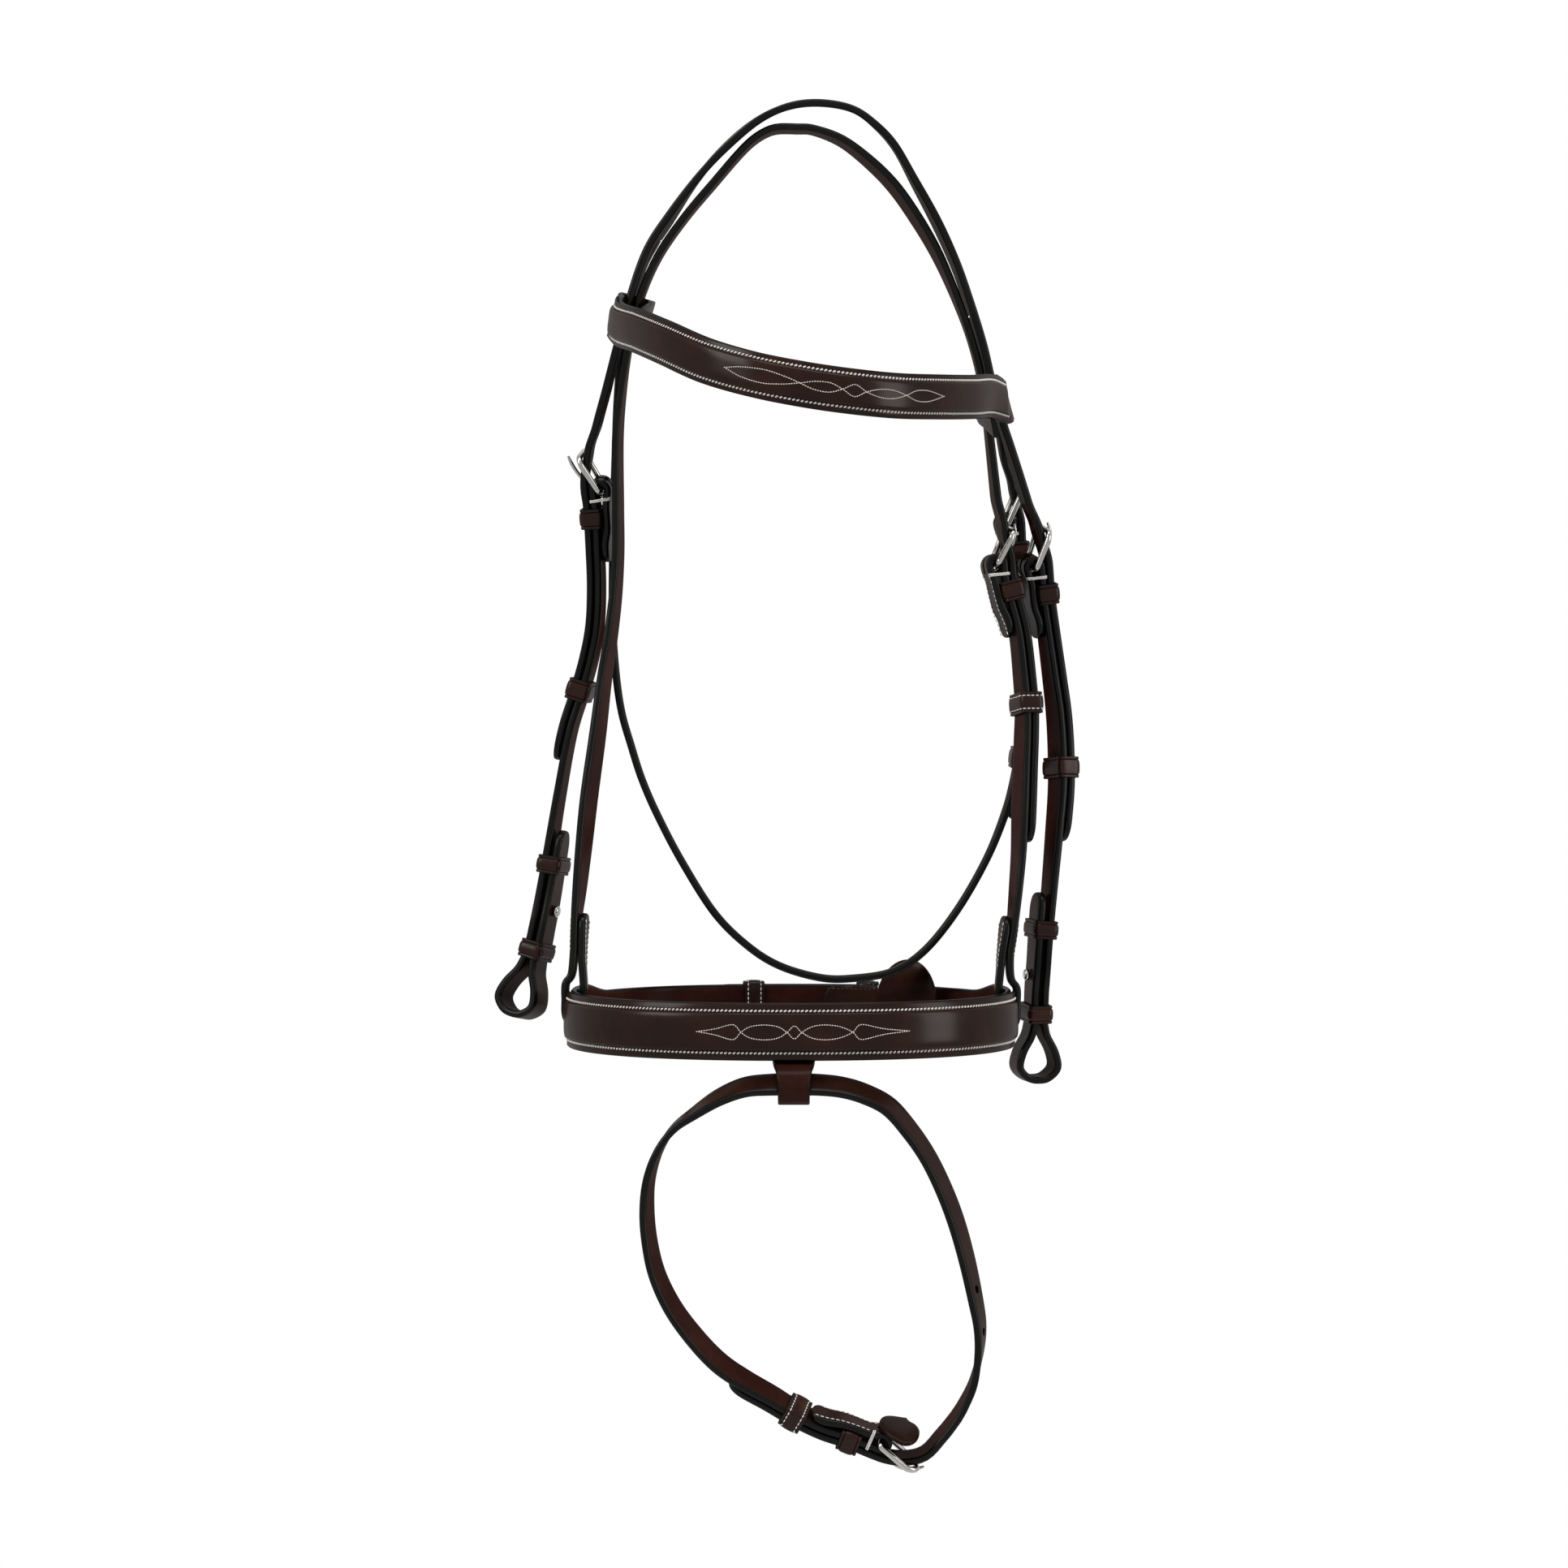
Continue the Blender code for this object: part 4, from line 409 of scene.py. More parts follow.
class Guide:
    """A smooth route with a frame: along it, across the strap, and out of its face."""

    def __init__(self, places, across):
        line = smooth_line(np.hstack([np.array(places, float), np.array(across, float)]))
        self.points = line[:, :3]
        self.across = line[:, 3:]
        steps = np.linalg.norm(np.diff(self.points, axis=0), axis=1)
        self.lengths = np.concatenate([[0], np.cumsum(steps)])
        self.length = self.lengths[-1]
        self.tangents = np.gradient(self.points, self.lengths, axis=0)

    def between(self, rows, along):
        return np.array([np.interp(along, self.lengths, rows[:, i]) for i in range(3)])

    def frame(self, along):
        tangent = unit(self.between(self.tangents, along))
        across = self.between(self.across, along)
        across = unit(across - tangent * across.dot(tangent))
        return self.between(self.points, along), tangent, across, np.cross(tangent, across)

    def place(self, along, across=0, out=0):
        point, _, side, face = self.frame(along)
        return point + side * across + face * out

    def nearest(self, axis, value, start=0, end=1):
        """The place along the guide where a coordinate first comes nearest to a value."""
        first, last = (int(share * (len(self.points) - 1)) for share in (start, end))
        index = first + np.abs(self.points[first:last + 1, axis] - value).argmin()
        return self.lengths[index]


def turned(across, tangent, degrees):
    """An across direction turned about the route; positive lifts its far edge outward."""
    across = unit(across - tangent * across.dot(tangent))
    angle = math.radians(degrees)
    return across * math.cos(angle) + np.cross(tangent, across) * math.sin(angle)


def guide_through(places, twists, across=(0, 1, 0)):
    """A guide through places, each with the twist of its strap in degrees."""
    tangents = np.gradient(np.array(places), axis=0)
    sides = [turned(np.array(across, float), unit(t), a) for t, a in zip(tangents, twists)]
    return Guide(places, sides)


def sized(shares):
    """The places of rows whose first three values are x, y and z shares."""
    return [np.array(row[:3]) * (HALF_WIDTH, DEPTH, DROP) for row in shares]


def guide_from_shares(shares, leading=(), trailing=()):
    """A guide through rows of x, y, z shares and a twist in degrees."""
    twists = [row[3] for row in shares]
    return guide_through(
        list(leading) + sized(shares) + list(trailing),
        [twists[0]] * len(leading) + twists + [twists[-1]] * len(trailing))


cheek_line = guide_from_shares(CHEEK_LINE_SHARES)
print("from bit to bit over the crown:", round(cheek_line.length / MM), "mm")

# %% [markdown]
# ## Where the buckles sit
#
# An English buckle is a wire frame on a heel bar. The strap folds round the bar, and its
# folded end, the chape, is stitched back under it. The billet comes down over the fold,
# under the frame's far bar, with the tongue up through one of its holes. All the heights
# follow from the wire and the leather, so one class works them out for all six buckles.

# %% Work out a buckle's heights
LEFT_HALF = (0, 0.5)
RIGHT_HALF = (0.5, 1)


class BuckleSeat:
    """Where a buckle sits on a guide, and every height in the stack that it holds."""

    def __init__(self, guide, bar, heading, width, thickness, runner, tail):
        self.guide = guide
        self.runner = runner
        self.tail = tail
        self.bar = bar
        self.heading = heading
        self.width = width
        self.thickness = thickness
        self.fold = WIRE_RADIUS + BAR_CLEARANCE + thickness / 2
        self.bar_out = -self.fold
        self.layer = thickness + BILLET_GAP
        self.frame_out = self.bar_out + FRAME_RISE
        self.billet_low = self.frame_out - WIRE_RADIUS - GAP - thickness / 2
        self.keeper_in = thickness + 2 * GAP + KEEPER_WALL
        self.eye_radius = WIRE_RADIUS + TONGUE_EYE_CLEARANCE + TONGUE_RADIUS
        self.tongue_out = self.frame_out + WIRE_RADIUS + TONGUE_RADIUS + GAP

    def along(self, ahead):
        return self.bar + self.heading * ahead

    def place(self, ahead, across=0, out=0):
        return self.guide.place(self.along(ahead), across, out)

    def strap(self):
        """A strap to be laid that fits this buckle."""
        return Strap(self.guide, self.width, self.thickness)


def beside_crown(fork, heading):
    """Where the throatlatch leaves the crown: places beside the cheek half of its slit."""
    across = CHEEK_WIDTH / 2 + CROWN_SLIT + THROAT_WIDTH / 2
    return [cheek_line.place(fork + heading * SLIT_FROM_BROWBAND * share, across)
            for share in LEAVING_SHARES]


left_seat = BuckleSeat(cheek_line, cheek_line.nearest(2, LEFT_BUCKLE, *LEFT_HALF), 1,
                       CHEEK_WIDTH, CHEEK_THICKNESS, CHEEK_RUNNER, BILLET_TAIL)
right_seat = BuckleSeat(cheek_line, cheek_line.nearest(2, RIGHT_BUCKLE, *RIGHT_HALF), -1,
                        CHEEK_WIDTH, CHEEK_THICKNESS, CHEEK_RUNNER, BILLET_TAIL)
brow_left = cheek_line.nearest(2, BROW_LEFT, *LEFT_HALF)
brow_right = cheek_line.nearest(2, BROW_RIGHT, *RIGHT_HALF)
left_fork = brow_left + SLIT_FROM_BROWBAND
right_fork = brow_right - SLIT_FROM_BROWBAND
throat_line = guide_from_shares(THROAT_SHARES, leading=beside_crown(right_fork, 1),
                                trailing=beside_crown(left_fork, -1)[::-1])
throat_seat = BuckleSeat(throat_line, throat_line.nearest(2, THROAT_BUCKLE, 0, 0.3), -1,
                         THROAT_WIDTH, CHEEK_THICKNESS, THROAT_RUNNER, THROAT_TAIL)
headstall_line = guide_from_shares(HEADSTALL_SHARES)
nose_cheek_seat = BuckleSeat(headstall_line,
                             headstall_line.nearest(2, NOSE_BUCKLE, *RIGHT_HALF), -1,
                             CHEEK_WIDTH, CHEEK_THICKNESS, NOSE_CHEEK_RUNNER,
                             BILLET_TAIL)
print("a cheek buckle's fold is", round(left_seat.fold / MM, 2), "mm in radius")

# %% [markdown]
# ## Leather
#
# Bridle leather is dyed through and glazed on its grain side, so it is dark havana brown
# with a soft wax shine. Its cut edges are inked black and burnished round, and its flesh
# side is redder and duller. One function of noises mixes every leather here: large blotches
# for the dye and the wear, and fine cells with a finer noise for the pores. The patterns
# read Object coordinates, so they stay on the leather when a piece moves.

# %% Mix the leathers
COAT_ROUGHNESS = 0.22
WORN_SHARES = (0.82, 1.3)
PORE_DEPTH = 0.09 * MM
PORE_SHARE = 0.6
BLOTCH_SCALE = 38
PORE_SCALE = 1500
GRAIN_SCALE = 620
CREASE_HALF_WIDTH = 0.35 * MM
CREASE_DEPTH = 0.25 * MM
CREASE_SHADE = (0.35, 0.35, 0.35)


def feed(tree, target, *values, **named):
    """Fills a node's inputs, in order or by name: a socket is linked, a value is set."""
    for key, value in (*enumerate(values), *named.items()):
        into = target.inputs[key.replace("_", " ") if isinstance(key, str) else key]
        if isinstance(value, bpy.types.NodeSocket):
            tree.links.new(value, into)
        else:
            into.default_value = value
    return target


def node(tree, kind, *values, **named):
    return feed(tree, tree.nodes.new(kind), *values, **named)


def calculated(tree, operation, *values):
    """The result of a sum on one to three values."""
    made = node(tree, "ShaderNodeMath", *values)
    made.operation = operation
    return made.outputs[0]


def ranged(tree, factor, **limits):
    return node(tree, "ShaderNodeMapRange", Value=factor, **limits).outputs["Result"]


def object_place(tree):
    return tree.nodes.new("ShaderNodeTexCoord").outputs["Object"]


def material_of(name, roughness, **looks):
    made = bpy.data.materials.new(name)
    made.use_nodes = True
    tree = made.node_tree
    shader = feed(tree, tree.nodes["Principled BSDF"], Roughness=roughness, **looks)
    return made, tree, shader


def ramp(tree, factor, *stops):
    """The colour at a factor between stops of place and colour."""
    found = node(tree, "ShaderNodeValToRGB", factor)
    for index, (place, colour) in enumerate(stops):
        stop = (found.color_ramp.elements[index] if index < 2
                else found.color_ramp.elements.new(place))
        stop.position = place
        stop.color = (*colour, 1)
    return found.outputs["Color"]


def leather(name, dark, middle, light, rough, coat, pore=0.35, creased=False):
    """Dyed leather: blotches of three colours, pores in its bump, and a waxed coat."""
    made, tree, shader = material_of(name, rough, Specular_IOR_Level=0, Coat_Weight=coat,
                                     Coat_Roughness=COAT_ROUGHNESS)
    place = object_place(tree)
    blotch = node(tree, "ShaderNodeTexNoise", place, Scale=BLOTCH_SCALE, Detail=5,
                  Roughness=0.62).outputs["Fac"]
    colour = ramp(tree, blotch, (0.28, dark), (0.72, light), (0.5, middle))
    pores = node(tree, "ShaderNodeTexVoronoi", place, Scale=PORE_SCALE).outputs["Distance"]
    grain = node(tree, "ShaderNodeTexNoise", place, Scale=GRAIN_SCALE, Detail=4,
                 Roughness=0.7).outputs["Fac"]
    height = calculated(tree, "MULTIPLY_ADD", pores, PORE_SHARE, grain)
    normal = node(tree, "ShaderNodeBump", Strength=pore, Distance=PORE_DEPTH,
                  Height=height).outputs["Normal"]
    if creased:
        colour, normal = crease(tree, colour, normal)
    low, high = WORN_SHARES
    worn = ranged(tree, blotch, To_Min=rough * low, To_Max=min(1, rough * high))
    feed(tree, shader, Base_Color=colour, Roughness=worn, Normal=normal)
    return made


def crease(tree, colour, normal):
    """The line that a hot creasing iron presses beside an edge, from the rim in the UV map,
    with painted shade darkening its groove.
    """
    rim = tree.nodes.new("ShaderNodeUVMap")
    rim.uv_map = "strap"
    parts = node(tree, "ShaderNodeSeparateXYZ", rim.outputs["UV"])
    away = calculated(tree, "SUBTRACT", parts.outputs["Y"], CREASE_FROM_EDGE)
    line = ranged(tree, calculated(tree, "ABSOLUTE", away), From_Max=CREASE_HALF_WIDTH)
    pressed = node(tree, "ShaderNodeBump", Strength=0.8, Distance=CREASE_DEPTH, Height=line,
                   Normal=normal)
    # The colour is multiplied down by CREASE_SHADE along the line: painted shade in the
    # pressed groove, beside its real bump.
    darker = node(tree, "ShaderNodeMix", Factor=1)
    darker.data_type = "RGBA"
    darker.blend_type = "MULTIPLY"
    tree.links.new(colour, darker.inputs[6])
    tree.links.new(ramp(tree, line, (0, CREASE_SHADE), (1, (1, 1, 1))), darker.inputs[7])
    return darker.outputs[2], pressed.outputs["Normal"]


grain_side = leather("havana_grain", (0.013, 0.0045, 0.0025), (0.0210, 0.0072, 0.0040),
                     (0.034, 0.0123, 0.0070), 0.38, 0.20, creased=True)
flesh_side = leather("havana_flesh", (0.021, 0.0062, 0.0043), (0.030, 0.0090, 0.0062),
                     (0.047, 0.0145, 0.0092), 0.62, 0.08, pore=0.7)
inked_edge = leather("inked_edge", (0.0028, 0.0027, 0.0025), (0.004, 0.0038, 0.0035),
                     (0.0062, 0.0058, 0.0052), 0.36, 0.2, pore=0.7)
raised_grain = leather("raised_grain", (0.011, 0.0036, 0.0019), (0.0185, 0.0060, 0.0032),
                       (0.032, 0.0110, 0.0058), 0.25, 0.24, pore=0.12)
keeper_grain = leather("keeper_grain", (0.013, 0.0043, 0.0027), (0.021, 0.0068, 0.0042),
                       (0.042, 0.0140, 0.0080), 0.24, 0.25, pore=0.2)
pad_grain = leather("pad_grain", (0.010, 0.0034, 0.0021), (0.016, 0.0053, 0.0032),
                    (0.030, 0.0100, 0.0060), 0.34, 0.12, pore=0.2)
STRAP_LOOKS = [grain_side, flesh_side, inked_edge]
KEEPER_LOOKS = [keeper_grain, flesh_side, inked_edge]
RAISED_LOOKS = [raised_grain, flesh_side, inked_edge]
GRAIN, FLESH, EDGE = range(3)
print(len(bpy.data.materials), "materials so far")

# %% [markdown]
# ## Steel and thread
#
# The buckles are polished stainless wire. A metal is only as good as what it reflects, so
# its roughness wanders a little where hands have rubbed it. The thread is waxed linen: off
# white, matt, with a fine twist across each stitch.

# %% Mix the steel and the thread
STEEL_TINT = (0.32, 0.31, 0.295, 1)
STEEL_ROUGHNESS = (0.07, 0.13)
RUB_DEPTH = 0.02 * MM
FIBRE_DEPTH = 0.08 * MM
FIBRE_SHADE = 0.7


def polished_steel():
    made, tree, shader = material_of("stainless_wire", 0.12, Metallic=1, Base_Color=STEEL_TINT)
    rubbed = node(tree, "ShaderNodeTexNoise", object_place(tree), Scale=90,
                  Detail=2).outputs["Fac"]
    low, high = STEEL_ROUGHNESS
    bump = node(tree, "ShaderNodeBump", Strength=0.02, Distance=RUB_DEPTH, Height=rubbed)
    feed(tree, shader, Roughness=ranged(tree, rubbed, To_Min=low, To_Max=high),
         Normal=bump.outputs["Normal"])
    return made


def waxed_thread(name, colour):
    made, tree, shader = material_of(name, 0.62, Specular_IOR_Level=0.3)
    fibre = node(tree, "ShaderNodeTexNoise", object_place(tree), Scale=2600,
                 Detail=3).outputs["Fac"]
    darker = tuple(share * FIBRE_SHADE for share in colour)
    bump = node(tree, "ShaderNodeBump", Strength=0.5, Distance=FIBRE_DEPTH, Height=fibre)
    feed(tree, shader, Base_Color=ramp(tree, fibre, (0.3, darker), (0.65, colour)),
         Normal=bump.outputs["Normal"])
    return made


steel = polished_steel()
white_thread = waxed_thread("white_thread", (0.92, 0.89, 0.84))
soft_thread = waxed_thread("fine_thread", (0.92, 0.8, 0.72))
brown_thread = waxed_thread("brown_thread", (0.045, 0.016, 0.01))
print("steel and three threads")

# %% [markdown]
# ## From stations to leather
#
# A saddler's strap is a flat rectangle in section with its corners rounded off. So each
# station of a strap becomes one ring of points, and the rings are joined into a skin. A
# plane with Solidify and Bevel gives nearly the same, but where a strap folds round a bar
# the ring keeps its thickness exactly, and each side can be given its own leather.

# %% Join rings into a skin
EDGE_SHARE = 0.36
EDGE_STEPS = 4
SMOOTH_ANGLE = math.radians(46)


def edge_arc(middle_across, middle_out, radius, start_quarter):
    """Points of a quarter turn round a corner of a strap's section."""
    angles = (start_quarter + np.linspace(0, 1, EDGE_STEPS)) * math.pi / 2
    return [(middle_across + radius * math.cos(a), middle_out + radius * math.sin(a))
            for a in angles]


def strap_section(half_width, half_thickness):
    """The section's points, with each one's distance from the rim and each side's leather."""
    radius = min(2 * half_thickness * EDGE_SHARE, half_width / 2)
    inner = max(half_width - RIM_WIDTH, half_width / 3)
    flat, low = half_width - radius, half_thickness - radius
    right = edge_arc(flat, -low, radius, 3) + edge_arc(flat, low, radius, 0)
    left = edge_arc(-flat, low, radius, 1) + edge_arc(-flat, -low, radius, 2)
    points = (right + [(inner, half_thickness), (-inner, half_thickness)]
              + left + [(-inner, -half_thickness), (inner, -half_thickness)])
    rims = [half_width - abs(across) for across, _ in points]
    sides = len(right)
    kinds = ([EDGE] * (sides - 1) + [GRAIN] * 3 + [EDGE] * (sides - 1) + [FLESH] * 3)
    return points, rims, kinds


def skin(name, rings, rims, kinds, looks, closed=False):
    """One closed mesh through rings of points, with a leather for each side of the ring."""
    rings = np.array(rings)
    count, size = rings.shape[:2]
    middles = rings.mean(axis=1)
    gaps = np.linalg.norm(np.diff(middles, axis=0), axis=1)
    lengths = np.concatenate([[0], np.cumsum(gaps)])
    faces, looks_of, rows = [], [], []
    for i in range(count if closed else count - 1):
        ahead = (i + 1) % count
        run = lengths[i] + (lengths[ahead] - lengths[i] if ahead else gaps[-1])
        for j in range(size):
            k = (j + 1) % size
            faces.append((i * size + j, i * size + k, ahead * size + k, ahead * size + j))
            looks_of.append(kinds[j])
            rows += [(lengths[i], rims[i][j]), (lengths[i], rims[i][k]),
                     (run, rims[ahead][k]), (run, rims[ahead][j])]
    if not closed:
        for first in (0, (count - 1) * size):
            ends = list(range(first, first + size))
            faces.append(ends if first else ends[::-1])
            looks_of.append(EDGE)
            rows += [(0, 0)] * size
    mesh = bpy.data.meshes.new(name)
    mesh.from_pydata([tuple(p) for p in rings.reshape(-1, 3)], [], faces)
    for look in looks:
        mesh.materials.append(look)
    mesh.polygons.foreach_set("material_index", looks_of)
    layer = mesh.uv_layers.new(name="strap")
    layer.data.foreach_set("uv", np.array(rows, float).ravel())
    if signed_volume(mesh) < 0:
        mesh.flip_normals()
    smooth(mesh)
    return linked(name, mesh)


def signed_volume(mesh):
    mesh.calc_loop_triangles()
    corners = np.array([vertex.co for vertex in mesh.vertices])
    tri = np.array([t.vertices for t in mesh.loop_triangles])
    a, b, c = corners[tri[:, 0]], corners[tri[:, 1]], corners[tri[:, 2]]
    return float((a * np.cross(b, c)).sum())


def smooth(mesh):
    mesh.polygons.foreach_set("use_smooth", [True] * len(mesh.polygons))
    mesh.set_sharp_from_angle(angle=SMOOTH_ANGLE)


def band(name, stations, looks):
    """A strap through stations of middle, side, half width and half thickness."""
    middles = np.array([station[0] for station in stations])
    tangents = np.gradient(middles, axis=0)
    rings, rims = [], []
    for (middle, side, half_width, half_thickness), tangent in zip(stations, tangents):
        tangent = unit(tangent)
        side = unit(side - tangent * side.dot(tangent))
        face = np.cross(tangent, side)
        points, rim, kinds = strap_section(half_width, half_thickness)
        rings.append([middle + side * a + face * out for a, out in points])
        rims.append(rim)
    return skin(name, rings, rims, kinds, looks)


TIP_STEPS = 12
TIP_ROUNDNESS = 0.7
TIP_NOSE = 0.35 * MM
TIP_NOSE_SHARES = (0.8, 0.45)
SKIVED = 0.8
WRAP_STEPS = 16


def eased(at, start, end, first, last):
    """A value that swings from first to last between two places."""
    return first + (last - first) * (1 - math.cos(math.pi * (at - start) / (end - start))) / 2


class Strap:
    """A strap being laid: stations of along, out, and shares of its width and thickness."""

    def __init__(self, guide, width, thickness):
        self.guide = guide
        self.width = width
        self.thickness = thickness
        self.stations = []

    def add(self, along, out=0, wide=1, thick=1):
        self.stations.append((along, out, wide, thick))

    def run(self, start, end, out=0):
        """A stretch beside the guide, without its two ends."""
        for along in spaced(start, end)[1:-1]:
            self.add(along, out)

    def ease(self, start, end, out_start, out_end):
        """A stretch that moves out or in smoothly, with both of its ends."""
        for along in spaced(start, end):
            self.add(along, eased(along, start, end, out_start, out_end))

    def end_with(self, other):
        """Another strap's stations after this one's, from its far end back."""
        self.stations += other.stations[::-1]

    def tip(self, end, heading, out, length, thin=1):
        """A rounded point, from its shoulder to its end; thin is its thickness at the end."""
        for share in np.linspace(0, 1, TIP_STEPS + 1)[1:]:
            wide = max(math.cos(share * math.pi / 2) ** TIP_ROUNDNESS, TIP_END_SHARE)
            along = end - heading * length * (1 - math.sin(share * math.pi / 2))
            self.add(along, out, wide, 1 + (thin - 1) * share)
        wide, thick = TIP_NOSE_SHARES
        self.add(end + heading * TIP_NOSE, out, TIP_END_SHARE * wide, thick * thin)

    def wrap(self, along, heading, radius):
        """Half a turn inward round a bar, from the outer face to the inner one."""
        for angle in np.linspace(0, math.pi, WRAP_STEPS + 1)[1:-1]:
            self.add(along + heading * radius * math.sin(angle),
                     -radius * (1 - math.cos(angle)))

    def chape(self, seat):
        """The folded end: in under the strap from the tip of the chape to its bar."""
        half = self.width / 2
        self.tip(seat.along(-CHAPE_LENGTH), -seat.heading, -seat.layer, half, SKIVED)
        self.stations.reverse()
        self.ease(seat.along(-CHAPE_LENGTH + half),
                  seat.along(-KEEPER_FROM_BAR - KEEPER_WIDTH), -seat.layer, -seat.keeper_in)
        self.ease(seat.along(-KEEPER_FROM_BAR), seat.bar, -seat.keeper_in, -2 * seat.fold)
        fold = seat.strap()
        fold.wrap(seat.bar, seat.heading, seat.fold)
        self.end_with(fold)
        self.add(seat.bar)
        return self

    def billet(self, seat, until=None):
        """From the tail's tip, over the chape, under the far bar and on along the guide."""
        end = seat.along(-seat.tail)
        point = seat.width * TIP_SHARE
        shoulder = end + seat.heading * seat.width * TIP_SHARE
        self.tip(end, -seat.heading, seat.layer, point)
        self.stations.reverse()
        self.add(shoulder, seat.layer)
        self.run(shoulder, seat.along(-OVERRUN), seat.layer)
        self.ease(seat.bar, seat.along(FRAME_LENGTH), seat.layer, seat.billet_low)
        self.ease(seat.along(FRAME_LENGTH + OVERRUN), seat.along(2 * FRAME_LENGTH),
                  seat.billet_low, 0)
        if until is not None:
            self.run(seat.along(2 * FRAME_LENGTH), until)
        return self

    def make(self, name):
        """The strap's skin. Its grain faces out, whichever way its main run was laid."""
        laid = []
        for along, out, wide, thick in self.stations:
            point, _, side, face = self.guide.frame(along)
            laid.append((point + face * out, side, wide * self.width / 2,
                         thick * self.thickness / 2))
        ahead = sum(math.copysign(1, here[0] - before[0]) for before, here
                    in zip(self.stations, self.stations[1:]) if abs(here[1]) < GAP)
        if ahead < 0:
            laid = [(middle, -side, wide, thick) for middle, side, wide, thick in laid]
        return band(name, laid, STRAP_LOOKS)


print("a strap's section has", len(strap_section(CHEEK_WIDTH / 2, BAND_THICKNESS / 2)[0]),
      "points")

# %% [markdown]
# ## Punches
#
# Holes for the tongues are punched with an oval crew punch, and the fold has a slot for
# the tongue's eye. Each is a Boolean with the exact solver, applied at once, so that what
# is left is a plain mesh. The walls of a hole get the edge's black.

# %% Punch holes
SPARE_HOLES = 4
PUNCH_SIDES = 24


def mesh_from(bm, name):
    """The mesh of a closed bmesh, with its faces outward."""
    bmesh.ops.recalc_face_normals(bm, faces=bm.faces)
    mesh = bpy.data.meshes.new(name)
    bm.to_mesh(mesh)
    bm.free()
    return mesh


def tool(bm):
    """A closed bmesh as an object to punch with, in the black of the edges."""
    mesh = mesh_from(bm, "punch")
    for look in STRAP_LOOKS:
        mesh.materials.append(look)
    mesh.polygons.foreach_set("material_index", [EDGE] * len(mesh.polygons))
    return linked("punch", mesh)


def oval_punch(guide, along, across, out, length, width, depth, fullness=1,
               sides=PUNCH_SIDES):
    """An oval punch through a strap, square to its face; fuller ones near a rectangle."""
    point, tangent, side, face = guide.frame(along)
    middle = point + side * across + face * out
    bm = bmesh.new()
    bmesh.ops.create_cone(bm, cap_ends=True, segments=sides, radius1=1, radius2=1, depth=1)
    for vertex in bm.verts:
        share = np.array(vertex.co)
        share[:2] = np.sign(share[:2]) * np.abs(share[:2]) ** (1 / fullness)
        vertex.co = (middle + tangent * share[0] * length / 2 + side * share[1] * width / 2
                     + face * share[2] * depth)
    return tool(bm)


def round_punch(guide, along, out, radius, depth):
    return oval_punch(guide, along, 0, out, 2 * radius, 2 * radius, depth)


def eye_slot(seat):
    """The slot in the fold that the tongue's eye turns in."""
    bm = bmesh.new()
    for ahead in (-seat.eye_radius - TONGUE_RADIUS - GAP, seat.fold + seat.thickness):
        for across in (-TONGUE_SLOT_WIDTH / 2, TONGUE_SLOT_WIDTH / 2):
            for out in (-2 * seat.fold - seat.thickness, seat.thickness):
                bm.verts.new(seat.place(ahead, across, out))
    bmesh.ops.convex_hull(bm, input=bm.verts)
    return tool(bm)


def billet_punches(seat, count=SPARE_HOLES):
    """The hole that the tongue is through, and the spare holes down the tail."""
    depth = 4 * seat.thickness
    found = [oval_punch(seat.guide, seat.along(FRAME_LENGTH * TONGUE_CROSSING_SHARE), 0,
                        seat.layer, TONGUE_HOLE_LENGTH, TONGUE_HOLE_WIDTH, depth)]
    for i in range(count):
        found.append(round_punch(seat.guide, seat.along(-HOLE_PITCH * (i + 2)), seat.layer,
                                 HOLE_RADIUS, depth))
    return found


def plain(made):
    """The object's mesh with its modifiers applied."""
    graph = bpy.context.evaluated_depsgraph_get()
    mesh = bpy.data.meshes.new_from_object(made.evaluated_get(graph))
    made.modifiers.clear()
    made.data = mesh
    return made


def punch(made, tools):
    for tool_object in tools:
        modifier = made.modifiers.new("Punch", "BOOLEAN")
        modifier.operation = "DIFFERENCE"
        modifier.solver = "EXACT"
        modifier.object = tool_object
    plain(made)
    smooth(made.data)
    for tool_object in tools:
        bpy.data.objects.remove(tool_object)
    return made


LEATHER_SLOT = "havana_leather"
STEEL_SLOT = "stainless_steel"


def finished(made, *nodes, finish=LEATHER_SLOT):
    """Rides on the body of its node and stands for its nodes; the finish argument is not used.
    """
    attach(made, body_of_node[nodes[0]])
    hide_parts(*nodes)
    print(made.name, len(made.data.polygons), "faces")
    return made


print("punches of", round(2 * HOLE_RADIUS / MM, 1), "mm")

# %% [markdown]
# ## The headpiece
#
# One strip of leather makes the crown and everything that hangs from it. It is slit twice
# from its ends: the wide half becomes a cheek billet on each side, and the narrow half the
# throatlatch. Five skins that run into each other at the forks of the slits stand for it.
# Their ends are a hair thinner where they enter the crown, so that no two faces coincide.

# %% Lay the headpiece
THREADED = 0.985
FORK_OVERLAP = 6 * MM


def joined(name, parts):
    """Several objects as one mesh."""
    with bpy.context.temp_override(active_object=parts[0], selected_editable_objects=parts,
                                   selected_objects=parts):
        bpy.ops.object.join()
    parts[0].name = name
    return parts[0]


def billet_half(seat, until, overlap=0):
    """From a billet's tip to where it becomes part of the crown."""
    strap = seat.strap().billet(seat, until)
    if overlap:
        strap.add(until)
    strap.add(until + seat.heading * overlap, 0, THREADED, THREADED)
    return punch(strap.make("billet"), billet_punches(seat))


def crown():
    half = (CHEEK_WIDTH + CROWN_SLIT + THROAT_WIDTH) / 2
    laid = []
    for along in spaced(left_fork, right_fork):
        point, _, side, _ = cheek_line.frame(along)
        laid.append((point + side * (half - CHEEK_WIDTH / 2), side, half,
                     CHEEK_THICKNESS / 2))
    return band("crown", laid, STRAP_LOOKS)


